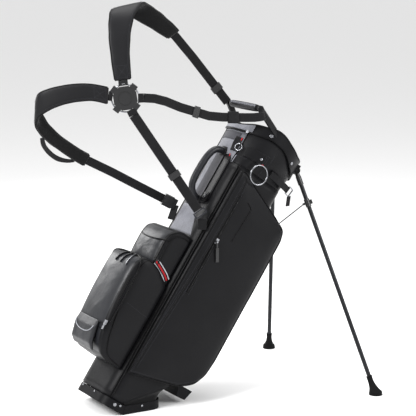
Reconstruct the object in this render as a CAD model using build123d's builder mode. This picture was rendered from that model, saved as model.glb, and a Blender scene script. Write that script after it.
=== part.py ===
"""Golf stand bag, standing on its two legs with the base flap flat on the floor.

Row frame: +Z up, the floor is Z = 0, the bag leans towards +X. The origin is the middle of
the flap's sole. Bag coordinates (m, y, s) run on the leaning bag: m from the strap side to
the leg side, y across, s up the bag from the base hinge.
"""
import os
from math import cos, radians, sin, sqrt, tan

from build123d import *

os.makedirs("parts", exist_ok=True)

# ---------------------------------------------------------------- driving dimensions (mm)
LEAN = 34.0                      # bag axis from the vertical, degrees
FLAP_LENGTH = 129.0
BOOT_FRONT = -73.0               # front of the base boot, in m
BOOT_HALF_WIDTH = 97.0
BOOT_HEIGHT = 25.0
BOOT_FLOOR = 4.0
BOOT_WALL = 3.0
HINGE_RADIUS = 3.0               # knuckle radius, tangent to both soles

TUBE_FRONT = -71.0               # club tube, in m
TUBE_REAR = 112.0
TUBE_HALF_WIDTH = 95.0
TUBE_CORNER = 40.0
TUBE_WALL = 3.0
TUBE_BOTTOM = 26.0
TUBE_TOP = 775.0
REAR_CUT_START = -18.0           # the tube's lower edge rises from here to the rear
REAR_CUT_TOP = 150.0

CUFF_CENTRE = 29.0               # m of the round mouth
CUFF_RADIUS = 118.7
CUFF_WALL = 5.0
COLLAR_RADIUS = 113.5
COLLAR_WALL = 3.5
COLLAR_ROUND = 835.0             # the collar is round from here up
COLLAR_TOP = 884.0

LEG_HINGE = (134.0, 61.4, 862.0)     # m, half spacing, s
LEG_OPEN = (0.676, 0.333, -0.657)    # direction of an open leg: m, outwards, s
LEG_LENGTH = 693.0
LEG_RADIUS = 6.2
PIN_RADIUS = 3.0
KNUCKLE_RADIUS = 8.5
KNUCKLE_HALF = 7.0                # knuckle half width
EAR = 4.0                         # bracket ear thickness
EAR_GAP = 0.4
SLEEVE_RADIUS = 8.0
SLEEVE_START = 18.0              # sleeve begins beyond the bracket's ears
RUNNING_CLEARANCE = 0.05
CLAMP_AT = 100.0                 # rod clamp, along the leg from its hinge
ROD_OFFSET = 12.0                # rod pivot, from the leg's axis
ROD_RADIUS = 1.6
ROD_FOOT = (-20.0, -284.0)       # lower end of the link rod in the leg's plane

WEBBING = 1.8                    # webbing thickness
HUB = (-435.0, 0.0, 764.0)
HUB_RING_RADIUS = 38.6
HUB_WIRE = 2.2

SIDES = {"near": -1, "far": 1}      # sign of y on either side

# ---------------------------------------------------------------- frames
lean = radians(LEAN)
hinge_x = -FLAP_LENGTH / 2
M_DIR = Vector(cos(lean), 0, -sin(lean))
S_DIR = Vector(sin(lean), 0, cos(lean))
Y_DIR = Vector(0, 1, 0)
BAG = Plane(origin=(hinge_x, 0, 0), x_dir=M_DIR, z_dir=S_DIR)


def at(m, y, s):
    """Row position of a bag coordinate."""
    return Vector(hinge_x, 0, 0) + M_DIR * m + Y_DIR * y + S_DIR * s


def along(m, y, s):
    """Row direction of a bag direction."""
    return M_DIR * m + Y_DIR * y + S_DIR * s


def side_plane(y):
    """Sketch (m, s) seen from the near side; extrudes towards -y."""
    return Plane(origin=at(0, y, 0), x_dir=M_DIR, z_dir=(0, -1, 0))


def front_plane(m):
    """Sketch (-y, s) seen from the strap side; extrudes towards -m."""
    return Plane(origin=at(m, 0, 0), x_dir=(0, -1, 0), z_dir=-M_DIR)


def save(built, name):
    built.part.label = name
    export_step(built.part, f"parts/{name}.step")


def block(corner_low, corner_high):
    """Plain bag-aligned block, for cutting and for limiting other shapes."""
    (m0, y0, s0), (m1, y1, s1) = corner_low, corner_high
    plane = BAG.offset(s0)
    with BuildPart() as made:
        with BuildSketch(plane):
            with Locations(((m0 + m1) / 2, (y0 + y1) / 2)):
                Rectangle(m1 - m0, y1 - y0)
        extrude(amount=s1 - s0)
    return made.part


def side_prism(points, y_from, y_to):
    """Prism of a side outline (m, s), between two y values (y_from nearer to -y)."""
    with BuildPart() as made:
        with BuildSketch(side_plane(y_to)):
            with BuildLine():
                Polyline(*points, close=True)
            make_face()
        extrude(amount=y_to - y_from)
    return made.part


def tube_section(grow):
    """The club tube's rounded section on the sketch plane in use."""
    depth = TUBE_REAR - TUBE_FRONT + 2 * grow
    width = 2 * TUBE_HALF_WIDTH + 2 * grow
    with Locations(((TUBE_FRONT + TUBE_REAR) / 2, 0)):
        RectangleRounded(depth, width, TUBE_CORNER + grow)


def leg_frame(side):
    """Hinge point, open leg direction, hinge axis, and outward in-plane direction."""
    hinge = at(LEG_HINGE[0], side * LEG_HINGE[1], LEG_HINGE[2])
    direction = along(LEG_OPEN[0], side * LEG_OPEN[1], LEG_OPEN[2]).normalized()
    out = sqrt(LEG_OPEN[0] ** 2 + LEG_OPEN[1] ** 2)
    outward = along(LEG_OPEN[0] / out, side * LEG_OPEN[1] / out, 0)
    axis = S_DIR.cross(outward) * (1 if side < 0 else -1)
    inward = direction.cross(axis) * (-1 if side < 0 else 1)
    if inward.dot(outward) > 0:
        inward = inward * -1
    return hinge, direction, axis.normalized(), outward, inward.normalized()


def on_axis(centre, axis, radius, half, offset=0.0):
    """Cylinder of half-length half, centred at centre plus offset along axis."""
    plane = Plane(origin=centre + axis * (offset - half), z_dir=axis)
    with BuildPart() as made:
        with BuildSketch(plane):
            Circle(radius)
        extrude(amount=2 * half)
    return made.part


def slab(centre, x_dir, z_dir, length, width, half):
    """Rectangular slab with its thickness along z_dir, both ways from centre."""
    plane = Plane(origin=centre - z_dir * half, x_dir=x_dir, z_dir=z_dir)
    with BuildPart() as made:
        with BuildSketch(plane):
            Rectangle(length, width)
        extrude(amount=2 * half)
    return made.part


# ---------------------------------------------------------------- base: boot, flap and hinge
bisector = tan(lean / 2)         # the two boot halves meet on the bisector of their soles
hinge_m = -bisector * HINGE_RADIUS
KNUCKLES_BOOT = [(-92, -70), (-14, 14), (70, 92)]
KNUCKLES_FLAP = [(-69, -15), (15, 69)]
GAP = 0.35
SOLE_END = bisector * HINGE_RADIUS + 0.2  # soles stop just short of the pin, so the flap can close
SOLE_STEP = (SOLE_END - GAP) / bisector


def level_point(x, z):
    """Bag (m, s) of a point x along the floor from the hinge line and z above it."""
    return x * cos(lean) - z * sin(lean), x * sin(lean) + z * cos(lean)


def hinge_rod(radius, y0, y1):
    """Cylinder on the base hinge's axis between two y values."""
    plane = Plane(origin=at(hinge_m, y0, HINGE_RADIUS), x_dir=M_DIR, z_dir=(0, 1, 0))
    with BuildPart() as made:
        with BuildSketch(plane):
            Circle(radius)
        extrude(amount=y1 - y0)
    return made.part


with BuildPart() as front_boot:
    with BuildSketch(BAG):
        with Locations(((BOOT_FRONT + 60) / 2, 0)):
            RectangleRounded(60 - BOOT_FRONT, 2 * BOOT_HALF_WIDTH, 40)
    extrude(amount=BOOT_HEIGHT)
    with BuildSketch(BAG.offset(BOOT_FLOOR)):
        with Locations(((BOOT_FRONT + 60) / 2, 0)):
            RectangleRounded(60 - BOOT_FRONT - 2 * BOOT_WALL, 2 * (BOOT_HALF_WIDTH - BOOT_WALL), 37)
    extrude(amount=BOOT_HEIGHT, mode=Mode.SUBTRACT)
    beyond = [(-SOLE_END, -1), (-SOLE_END, SOLE_STEP), (-GAP - bisector * 40, 40), (90, 40), (90, -1)]
    add(side_prism(beyond, -110, 110), mode=Mode.SUBTRACT)
    for low, high in KNUCKLES_FLAP:
        add(hinge_rod(HINGE_RADIUS + 0.5, low - 0.5, high + 0.5), mode=Mode.SUBTRACT)
    for low, high in KNUCKLES_BOOT:
        add(hinge_rod(HINGE_RADIUS, low, high))
    add(hinge_rod(1.55, -94, 94), mode=Mode.SUBTRACT)
save(front_boot, "front_boot")

FLAP = Plane(origin=(hinge_x, 0, 0), x_dir=(1, 0, 0), z_dir=(0, 0, 1))
with BuildPart() as base_flap:
    with BuildSketch(FLAP):
        with Locations(((FLAP_LENGTH - 60) / 2, 0)):
            RectangleRounded(FLAP_LENGTH + 60, 2 * BOOT_HALF_WIDTH, 38)
    extrude(amount=BOOT_HEIGHT)
    with BuildSketch(FLAP.offset(BOOT_FLOOR)):
        with Locations(((FLAP_LENGTH - 60) / 2, 0)):
            RectangleRounded(FLAP_LENGTH + 60 - 2 * BOOT_WALL, 2 * (BOOT_HALF_WIDTH - BOOT_WALL), 35)
    extrude(amount=BOOT_HEIGHT, mode=Mode.SUBTRACT)
    before = [(SOLE_END, -1), (SOLE_END, SOLE_STEP), (GAP + bisector * 40, 40), (-90, 40), (-90, -1)]
    add(side_prism([level_point(x, z) for x, z in before], -110, 110), mode=Mode.SUBTRACT)
    for low, high in KNUCKLES_BOOT:
        add(hinge_rod(HINGE_RADIUS + 0.5, low - 0.5, high + 0.5), mode=Mode.SUBTRACT)
    for low, high in KNUCKLES_FLAP:
        add(hinge_rod(HINGE_RADIUS, low, high))
    add(hinge_rod(1.55, -94, 94), mode=Mode.SUBTRACT)
save(base_flap, "base_flap")

with BuildPart() as hinge_pin:
    add(hinge_rod(1.5, -91, 91))
save(hinge_pin, "hinge_pin")

# ---------------------------------------------------------------- club tube, collar and cuff
rear_slope = (REAR_CUT_TOP - TUBE_BOTTOM) / (TUBE_REAR - REAR_CUT_START)
below_tube = [
    (REAR_CUT_START, TUBE_BOTTOM - 2),
    (REAR_CUT_START, TUBE_BOTTOM),
    (TUBE_REAR + 40, REAR_CUT_TOP + 40 * rear_slope),
    (TUBE_REAR + 40, TUBE_BOTTOM - 2),
]
with BuildPart() as body_shell:
    with BuildSketch(BAG.offset(TUBE_BOTTOM)):
        tube_section(0)
        with Locations(((TUBE_FRONT + TUBE_REAR) / 2, 0)):
            RectangleRounded(
                TUBE_REAR - TUBE_FRONT - 2 * TUBE_WALL,
                2 * (TUBE_HALF_WIDTH - TUBE_WALL),
                TUBE_CORNER - TUBE_WALL,
                mode=Mode.SUBTRACT,
            )
    extrude(amount=TUBE_TOP - TUBE_BOTTOM)
    add(side_prism(below_tube, -120, 120), mode=Mode.SUBTRACT)
save(body_shell, "body_shell")

with BuildPart() as tube_envelope:
    with BuildSketch(BAG.offset(0)):
        tube_section(0.25)
    extrude(amount=TUBE_TOP + 0.2)


def flared(grow):
    """Solid collar: from the tube's section to a round one, then straight up."""
    with BuildPart() as made:
        with BuildSketch(BAG.offset(TUBE_TOP + 0.2)):
            tube_section(grow)
        with BuildSketch(BAG.offset(COLLAR_ROUND)):
            with Locations((CUFF_CENTRE, 0)):
                Circle(COLLAR_RADIUS + grow)
        loft()
        with BuildSketch(BAG.offset(COLLAR_ROUND)):
            with Locations((CUFF_CENTRE, 0)):
                Circle(COLLAR_RADIUS + grow)
        extrude(amount=COLLAR_TOP - COLLAR_ROUND)
    return made.part


def round_column(radius, low, high):
    """Cylinder on the mouth's axis."""
    with BuildPart() as made:
        with BuildSketch(BAG.offset(low)):
            with Locations((CUFF_CENTRE, 0)):
                Circle(radius)
        extrude(amount=high - low)
    return made.part




def leg_slot(side):
    """Tools for the recess in collar and cuff where the leg's knuckle and sleeve swing."""
    hinge, direction, axis, outward, inward = leg_frame(side)
    reach = KNUCKLE_RADIUS + 0.35
    return [
        on_axis(hinge, axis, reach, KNUCKLE_HALF + EAR_GAP),
        slab(hinge - S_DIR * 12, S_DIR, axis, 24, 2 * reach, KNUCKLE_HALF + EAR_GAP),
        slab(hinge - S_DIR * 38, S_DIR, axis, 44, 2 * reach, SLEEVE_RADIUS + EAR_GAP),
        on_axis(hinge, axis, PIN_RADIUS + 0.3, KNUCKLE_HALF + EAR_GAP + EAR + 0.5),
    ]


collar_outer = flared(0)
with BuildPart() as top_collar:
    add(collar_outer)
    add(flared(-COLLAR_WALL), mode=Mode.SUBTRACT)
    for side in SIDES.values():
        for tool in leg_slot(side):
            add(tool, mode=Mode.SUBTRACT)
save(top_collar, "top_collar")

RIM = [
    (-100, 888), (-88, 889), (-70, 902), (-42, 912), (-22, 918),
    (2, 918), (40, 906), (88, 891), (150, 886),
]
SEAM = [
    (160, 830), (110, 833), (75, 850), (50, 866), (27, 876),
    (0, 881), (-22, 882), (-58, 874), (-100, 866),
]
with BuildPart() as top_cuff:
    with BuildSketch(side_plane(140)):
        with BuildLine():
            upper = Spline(*RIM)
            lower = Spline(*SEAM)
            Line(upper @ 1, lower @ 0)
            Line(lower @ 1, upper @ 0)
        make_face()
    extrude(amount=280)
    add(round_column(CUFF_RADIUS, 800, 960), mode=Mode.INTERSECT)
    add(round_column(CUFF_RADIUS - CUFF_WALL, 790, 970), mode=Mode.SUBTRACT)
    for side in SIDES.values():
        for tool in leg_slot(side):
            add(tool, mode=Mode.SUBTRACT)
save(top_cuff, "top_cuff")

DIVIDER_LOW = 862.0
DIVIDER_HIGH = 884.0
DIVIDER_RADIUS = COLLAR_RADIUS - COLLAR_WALL - 0.2
with BuildPart() as top_divider:
    with BuildSketch(BAG.offset(DIVIDER_LOW)):
        with Locations((CUFF_CENTRE, 0)):
            Circle(DIVIDER_RADIUS)
            Circle(DIVIDER_RADIUS - 8, mode=Mode.SUBTRACT)
        with Locations((CUFF_CENTRE - 4, 0)):
            Rectangle(11, 2 * (DIVIDER_RADIUS - 2.5))
        with Locations((CUFF_CENTRE, 0)):
            Rectangle(2 * (DIVIDER_RADIUS - 2.5), 11)
    extrude(amount=DIVIDER_HIGH - DIVIDER_LOW)
save(top_divider, "top_divider")

STAYS = [(-48, -70, 4), (-48, 70, 4), (92, -74, 134), (92, 74, 134)]
with BuildPart() as frame_stays:
    for m, y, low in STAYS:
        with BuildSketch(BAG.offset(low)):
            with Locations((m, y)):
                Circle(4)
        extrude(amount=DIVIDER_LOW - low)
save(frame_stays, "frame_stays")

# ---------------------------------------------------------------- grab handle over the mouth
GRIP_M = -90.0
GRIP_S = 944.0
GRIP_HALF = 70.0
ARM_FOOT = (4.0, 111.0, 898.0)


def beam(start, end, wide, across, thick):
    """Straight bar of rectangular section between two bag points."""
    low = at(*start)
    high = at(*end)
    plane = Plane(origin=low, x_dir=along(*across), z_dir=high - low)
    with BuildPart() as made:
        with BuildSketch(plane):
            Rectangle(wide, thick)
        extrude(amount=(high - low).length)
    return made.part


with BuildPart() as handle_bail:
    for side in (-1, 1):
        foot = (ARM_FOOT[0], side * ARM_FOOT[1], ARM_FOOT[2])
        head = (GRIP_M, side * 86, GRIP_S)
        add(beam(foot, head, 17, (0.42, 0, 0.9), 8))
        elbow = Plane(origin=at(*head), x_dir=M_DIR, z_dir=Y_DIR)
        with BuildSketch(elbow):
            Circle(9)
        extrude(amount=5, both=True)
    with BuildSketch(Plane(origin=at(GRIP_M, -86, GRIP_S), x_dir=M_DIR, z_dir=Y_DIR)):
        Circle(6)
    extrude(amount=172)
    add(round_column(CUFF_RADIUS + 0.1, 800, 935), mode=Mode.SUBTRACT)
save(handle_bail, "handle_bail")

with BuildPart() as handle_grip:
    with BuildSketch(Plane(origin=at(GRIP_M, -GRIP_HALF, GRIP_S), x_dir=M_DIR, z_dir=Y_DIR)):
        Circle(10.5)
        Circle(6.05, mode=Mode.SUBTRACT)
    extrude(amount=2 * GRIP_HALF)
    chamfer(handle_grip.edges().filter_by(GeomType.CIRCLE).sort_by(SortBy.RADIUS)[-2:], length=2.5)
save(handle_grip, "handle_grip")

# ---------------------------------------------------------------- front: lift handle and panel
with BuildPart() as front_panel:
    with BuildSketch(front_plane(TUBE_FRONT - 0.3)):
        with Locations((0, 716)):
            RectangleRounded(104, 164, 26)
    extrude(amount=5)
    chamfer(front_panel.faces().sort_by(Axis(at(0, 0, 0), -M_DIR))[-1].edges(), length=2)
    add(collar_outer, mode=Mode.SUBTRACT)
save(front_panel, "front_panel")

LIFT = [(-76.8, 795), (-101, 790), (-119, 735), (-118, 685), (-103, 648), (-76.8, 640)]
with BuildPart() as lift_handle:
    points = [at(m, 0, s) for m, s in LIFT]
    with BuildLine() as lift_path:
        FilletPolyline(*points, radius=[14, 36, 36, 14])
    with BuildSketch(Plane(origin=lift_path.line @ 0, z_dir=lift_path.line % 0)):
        Circle(10.3)
    sweep()
    add(front_panel.part, mode=Mode.SUBTRACT)
save(lift_handle, "lift_handle")

# ---------------------------------------------------------------- ball pocket and pouch
POCKET_HALF = 86.0
BALL_SIDE = [
    (-72, 106), (-134, 112), (-160, 128), (-176, 158), (-186, 205), (-193, 290), (-196, 350),
    (-192, 392), (-176, 407), (-137, 406), (-105, 390), (-72, 371),
]
with BuildPart() as ball_pocket:
    with BuildSketch(side_plane(POCKET_HALF)):
        with BuildLine():
            front = Spline(*BALL_SIDE[1:11])
            Polyline(front @ 1, BALL_SIDE[-1], BALL_SIDE[0], front @ 0)
        make_face()
    extrude(amount=2 * POCKET_HALF)
    with BuildSketch(BAG.offset(60)):
        with Locations((-120, 0)):
            RectangleRounded(152, 2 * POCKET_HALF, 26)
        with Locations((-75, 0)):
            Rectangle(60, 2 * POCKET_HALF)
    extrude(amount=400, mode=Mode.INTERSECT)
    add(tube_envelope.part, mode=Mode.SUBTRACT)
save(ball_pocket, "ball_pocket")

POUCH_SIDE = [(-162, 118), (-178, 138), (-190, 190), (-196.6, 198), (-199, 170), (-186, 128), (-166, 112)]
with BuildPart() as ball_pouch:
    add(side_prism(POUCH_SIDE, -60, 60))
    add(ball_pocket.part, mode=Mode.SUBTRACT)
save(ball_pouch, "ball_pouch")

# ---------------------------------------------------------------- valuables pocket and ribbon
VALUABLES_SIDE = [
    (-72, 372.5), (-105, 391.5), (-137, 407.5), (-144, 409), (-146, 480), (-139, 508),
    (-120, 524), (-95, 528), (-72, 526),
]
with BuildPart() as valuables_pocket:
    add(side_prism(VALUABLES_SIDE, -80, 80))
    with BuildSketch(BAG.offset(340)):
        with Locations((-96, 0)):
            RectangleRounded(100, 160, 24)
        with Locations((-70, 0)):
            Rectangle(60, 160)
    extrude(amount=220, mode=Mode.INTERSECT)
    add(tube_envelope.part, mode=Mode.SUBTRACT)
save(valuables_pocket, "valuables_pocket")

RIBBON = [(-128, 405.5), (-105, 394.5), (-78, 377.5), (-74, 394), (-100, 412), (-126, 424)]
with BuildPart() as striped_ribbon:
    for side in (-1, 1):
        low = -81.3 if side < 0 else 80.1
        add(side_prism(RIBBON, low, low + 1.2))
save(striped_ribbon, "striped_ribbon")

# ---------------------------------------------------------------- apparel pockets
APPAREL_SECTION = [
    (-58, -94), (-52, -104), (-20, -112), (60, -122), (120, -123), (160, -117), (176, -108),
    (170, -101), (112, -85), (100, -80),
]
APPAREL_SIDE = [
    (-58, 108), (80, 138), (115, 151), (145, 172), (168, 210), (178, 262), (180, 400), (180, 620),
    (174, 662), (158, 686), (99, 712), (22, 742), (-40, 768), (-58, 762),
]
APPAREL_FRONT = [
    (-70, 90), (-106, 90), (-118, 150), (-124, 240),
    (-124, 640), (-112, 735), (-103, 790), (-70, 790),
]
with BuildPart() as apparel_pocket_near:
    with BuildSketch(BAG.offset(100)):
        with BuildLine():
            outer = Spline(*APPAREL_SECTION[1:7])
            Polyline(outer @ 1, *APPAREL_SECTION[7:], APPAREL_SECTION[0], outer @ 0)
        make_face()
    extrude(amount=690)
    add(side_prism(APPAREL_SIDE, -140, -60), mode=Mode.INTERSECT)
    with BuildSketch(front_plane(260)):
        with BuildLine():
            Polyline(*[(-y, s) for y, s in APPAREL_FRONT], close=True)
        make_face()
    extrude(amount=400, mode=Mode.INTERSECT)
    add(tube_envelope.part, mode=Mode.SUBTRACT)
save(apparel_pocket_near, "apparel_pocket_near")

with BuildPart() as apparel_pocket_far:
    add(apparel_pocket_near.part.mirror(Plane.XZ))
save(apparel_pocket_far, "apparel_pocket_far")

# ---------------------------------------------------------------- piping at the front corners
with BuildPart() as corner_welts:
    for side in (-1, 1):
        corner = (TUBE_FRONT + 8.5, side * (TUBE_HALF_WIDTH - 8.5))
        path_low = at(corner[0] - 0.2, corner[1] + side * 0.2, 34)
        plane = Plane(origin=path_low, x_dir=M_DIR, z_dir=S_DIR)
        with BuildSketch(plane):
            Circle(2.6)
        extrude(amount=790 - 34)
    add(tube_envelope.part, mode=Mode.SUBTRACT)
    add(collar_outer, mode=Mode.SUBTRACT)
    add(ball_pocket.part, mode=Mode.SUBTRACT)
    add(valuables_pocket.part, mode=Mode.SUBTRACT)
    add(apparel_pocket_near.part, mode=Mode.SUBTRACT)
    add(apparel_pocket_far.part, mode=Mode.SUBTRACT)
save(corner_welts, "corner_welts")

# ---------------------------------------------------------------- gusset and heel at the base
GUSSET_SIDE = [(-15, 27.5), (108, 144.5), (92, 94.5), (-6.5, 27.2)]
with BuildPart() as base_gusset:
    for low in (-93, 91.5):
        add(side_prism(GUSSET_SIDE, low, low + 1.5))
save(base_gusset, "base_gusset")

HEEL_SIDE = [(122, 148), (128, 140), (135, 119), (166, 121), (175, 153), (122, 153)]
with BuildPart() as rear_heel:
    add(side_prism(HEEL_SIDE, -82, 82))
    add(side_prism([(TUBE_REAR + 0.2, 152), (TUBE_REAR + 0.2, 176), (122, 153), (122, 148)], -40, 40))
save(rear_heel, "rear_heel")


# ---------------------------------------------------------------- legs
CLAMP_RADIUS = 8.2
EYE_RADIUS = 3.5
EYE_PIN = 1.5
EYE_HALF = 1.6
LUG_AT = 3.2                     # clamp lugs either side of the rod's eye
LUG_HALF = 1.1
for name, side in SIDES.items():
    hinge, direction, axis, outward, inward = leg_frame(side)
    with BuildPart() as leg_tube:
        with BuildSketch(Plane(origin=hinge + direction * (SLEEVE_START + 1), z_dir=direction)):
            Circle(LEG_RADIUS)
            Circle(LEG_RADIUS - 1.2, mode=Mode.SUBTRACT)
        extrude(amount=LEG_LENGTH - SLEEVE_START - 1 - 16)
    save(leg_tube, f"leg_tube_{name}")

    pivot = hinge + direction * CLAMP_AT + inward * ROD_OFFSET
    with BuildPart() as leg_fittings:
        add(on_axis(hinge, axis, KNUCKLE_RADIUS, KNUCKLE_HALF))
        with BuildSketch(Plane(origin=hinge, z_dir=direction)):
            Circle(KNUCKLE_HALF - 0.1)
        extrude(amount=SLEEVE_START + 1)
        with BuildSketch(Plane(origin=hinge + direction * SLEEVE_START, z_dir=direction)):
            Circle(SLEEVE_RADIUS)
        extrude(amount=26)
        add(on_axis(hinge, axis, PIN_RADIUS + RUNNING_CLEARANCE, 20), mode=Mode.SUBTRACT)
        with BuildSketch(Plane(origin=hinge + direction * (CLAMP_AT - 12), z_dir=direction)):
            Circle(CLAMP_RADIUS)
        extrude(amount=24)
        add(slab(hinge + direction * CLAMP_AT - inward * 9, inward, axis, 10, 13, 4))
        for way in (-1, 1):
            lug = axis * (way * LUG_AT)
            lug_centre = hinge + direction * CLAMP_AT + inward * 9.5 + lug
            add(slab(lug_centre, inward, axis, 5, 2 * EYE_RADIUS, LUG_HALF))
            add(on_axis(pivot + lug, axis, EYE_RADIUS, LUG_HALF))
        with BuildSketch(Plane(origin=hinge + direction * (SLEEVE_START + 1), z_dir=direction)):
            Circle(LEG_RADIUS)
        extrude(amount=CLAMP_AT + 20, mode=Mode.SUBTRACT)
        add(on_axis(pivot, axis, EYE_PIN, LUG_AT + LUG_HALF))
    save(leg_fittings, f"leg_fittings_{name}")

    tip = hinge + direction * LEG_LENGTH
    sole_centre = Vector(tip.X, tip.Y, 0)
    with BuildPart() as leg_foot:
        with BuildSketch(Plane(origin=sole_centre, z_dir=(0, 0, 1))):
            Circle(19.5)
        with BuildSketch(Plane(origin=sole_centre + Vector(0, 0, 9) - direction * 1, z_dir=(0, 0, 1))):
            Circle(19)
        loft()
        with BuildSketch(Plane(origin=sole_centre + Vector(0, 0, 9) - direction * 1, z_dir=(0, 0, 1))):
            Circle(19)
        with BuildSketch(Plane(origin=tip - direction * 30, z_dir=-direction)):
            Circle(10)
        with BuildSketch(Plane(origin=tip - direction * 58, z_dir=-direction)):
            Circle(9)
        loft()
        with BuildSketch(Plane(origin=tip - direction * 16, z_dir=-direction)):
            Circle(LEG_RADIUS)
        extrude(amount=60, mode=Mode.SUBTRACT)
    save(leg_foot, f"leg_foot_{name}")

    rod_foot = hinge + outward * ROD_FOOT[0] + S_DIR * ROD_FOOT[1]
    rod_line = (rod_foot - pivot).normalized()
    with BuildPart() as link_rod:
        add(on_axis(pivot, axis, EYE_RADIUS, EYE_HALF))
        with BuildSketch(Plane(origin=pivot + rod_line * 2.4, z_dir=rod_line)):
            Circle(ROD_RADIUS - 0.1)
        extrude(amount=(rod_foot - pivot).length - 2.4)
        add(on_axis(pivot, axis, EYE_PIN + RUNNING_CLEARANCE, 5), mode=Mode.SUBTRACT)
    save(link_rod, f"link_rod_{name}")

with BuildPart() as leg_brackets:
    for side in SIDES.values():
        hinge, direction, axis, outward, inward = leg_frame(side)
        for way in (-1, 1):
            ear = axis * (way * (KNUCKLE_HALF + EAR_GAP + EAR / 2))
            add(on_axis(hinge + ear, axis, 10.5, EAR / 2))
            add(slab(hinge + ear - outward * 8 + S_DIR * 3, outward, axis, 16, 27, EAR / 2))
        bridge = KNUCKLE_HALF + EAR_GAP + EAR
        add(slab(hinge - outward * 1 + S_DIR * 14, outward, axis, 12, 6, bridge))
        add(on_axis(hinge, axis, PIN_RADIUS, 20), mode=Mode.SUBTRACT)
    add(round_column(CUFF_RADIUS + 0.05, 800, 960), mode=Mode.SUBTRACT)
save(leg_brackets, "leg_brackets")

with BuildPart() as leg_pins:
    for side in SIDES.values():
        hinge, direction, axis, outward, inward = leg_frame(side)
        add(on_axis(hinge, axis, PIN_RADIUS, KNUCKLE_HALF + EAR_GAP + EAR))
save(leg_pins, "leg_pins")

# ---------------------------------------------------------------- pull rod behind the tube
out = sqrt(LEG_OPEN[0] ** 2 + LEG_OPEN[1] ** 2)
lane_m = LEG_HINGE[0] + ROD_FOOT[0] * LEG_OPEN[0] / out
lane_y = LEG_HINGE[1] + ROD_FOOT[0] * LEG_OPEN[1] / out
PULL_Y = lane_y - 4.2
PULL_ROUTE = [
    (lane_m, -PULL_Y, 606), (lane_m, -PULL_Y, 150), (90.5, -PULL_Y, 94), (90.5, PULL_Y, 94),
    (lane_m, PULL_Y, 150), (lane_m, PULL_Y, 606),
]
with BuildPart() as pull_rod:
    with BuildLine() as pull_path:
        FilletPolyline(*[at(*point) for point in PULL_ROUTE], radius=[10, 8, 8, 10])
    with BuildSketch(Plane(origin=pull_path.line @ 0, z_dir=pull_path.line % 0)):
        Circle(ROD_RADIUS)
    sweep()
save(pull_rod, "pull_rod")

with BuildPart() as rod_channels:
    for side in SIDES.values():
        for rail in (PULL_Y - 5.5, lane_y + 6.5):
            centre = side * rail
            add(block((TUBE_REAR + 0.2, centre - 1.5, 500), (TUBE_REAR + 8, centre + 1.5, 640)))
save(rod_channels, "rod_channels")


# ---------------------------------------------------------------- harness
def ribbon(route, thickness, straight=False):
    """Flat strap through stations: (centre, across direction, width) in bag coordinates.

    With straight set, the strap runs flat between stations and bends only near them.
    """
    if straight:
        stops = [route[0]]
        for (c0, a0, w0), (c1, a1, w1) in zip(route, route[1:]):
            for part in (0.12, 0.88):
                mixed = [tuple(p + (q - p) * part for p, q in zip(*pair)) for pair in ((c0, c1), (a0, a1))]
                stops.append((mixed[0], mixed[1], w0 + (w1 - w0) * part))
            stops.append((c1, a1, w1))
        route = stops
    last = len(route) - 1
    with BuildPart() as made:
        for i, (centre, across, width) in enumerate(route):
            here = along(*across).normalized()
            ahead = (at(*route[min(i + 1, last)][0]) - at(*route[max(i - 1, 0)][0])).normalized()
            if straight:
                here = (here - ahead * ahead.dot(here)).normalized()
            face = ahead.cross(here).normalized()
            with BuildSketch(Plane(origin=at(*centre), x_dir=here, z_dir=here.cross(face))):
                Rectangle(width, thickness)
        loft(ruled=True)
    return made.part


PAD_UPPER = [
    ((-463, 12, 804), (0.66, -0.48, 0.58), 46),
    ((-499, 23, 855), (0.70, -0.48, 0.53), 51),
    ((-526, 38, 905), (0.76, -0.44, 0.48), 59),
    ((-539, 55, 949), (0.76, -0.35, 0.55), 68),
    ((-537, 72, 980), (0.73, -0.24, 0.63), 82),
    ((-524, 88, 1001), (0.70, -0.15, 0.70), 92),
    ((-493, 101, 1009), (0.67, -0.15, 0.72), 88),
    ((-451, 103, 1015), (0.62, -0.13, 0.77), 72),
    ((-399, 104, 1017), (0.47, -0.07, 0.88), 54),
    ((-349, 105, 1016), (0.38, -0.05, 0.92), 42),
]
PAD_LEFT = [
    ((-472, 24, 747), (-0.43, 0.14, 0.89), 46),
    ((-509, 46, 733), (-0.52, 0.19, 0.83), 46),
    ((-539, 65, 712), (-0.56, 0.22, 0.80), 49),
    ((-562, 82, 690), (-0.64, 0.28, 0.71), 51),
    ((-580, 99, 667), (-0.70, 0.32, 0.64), 54),
    ((-590, 117, 645), (-0.66, 0.28, 0.70), 57),
    ((-588, 136, 626), (-0.50, 0.14, 0.85), 60),
    ((-571, 150, 609), (-0.42, 0.04, 0.91), 62),
    ((-545, 155, 596), (-0.41, 0.03, 0.91), 56),
    ((-509, 156, 585), (-0.40, 0.04, 0.92), 46),
    ((-466, 151, 579), (-0.34, 0.02, 0.94), 38),
    ((-412, 141, 576), (-0.22, -0.08, 0.97), 36),
    ((-376, 133, 577), (-0.10, -0.16, 0.98), 36),
]
PAD_THICKNESS = 12.0
with BuildPart() as strap_pad_upper:
    add(ribbon(PAD_UPPER, PAD_THICKNESS))
save(strap_pad_upper, "strap_pad_upper")
with BuildPart() as strap_pad_left:
    add(ribbon(PAD_LEFT, PAD_THICKNESS))
save(strap_pad_left, "strap_pad_left")

UPPER_ACROSS = (0.42, -0.16, 0.89)
STRAP_UPPER = [
    ((-347, 104.5, 1015.5), UPPER_ACROSS, 26),
    ((-265, 92, 991), UPPER_ACROSS, 26),
    ((-193, 82.6, 967.4), UPPER_ACROSS, 26),
    ((-105, 71, 938.5), UPPER_ACROSS, 26),
]
with BuildPart() as strap_upper:
    add(ribbon(STRAP_UPPER, WEBBING, straight=True))
    add(handle_grip.part, mode=Mode.SUBTRACT)
save(strap_upper, "strap_upper")

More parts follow.
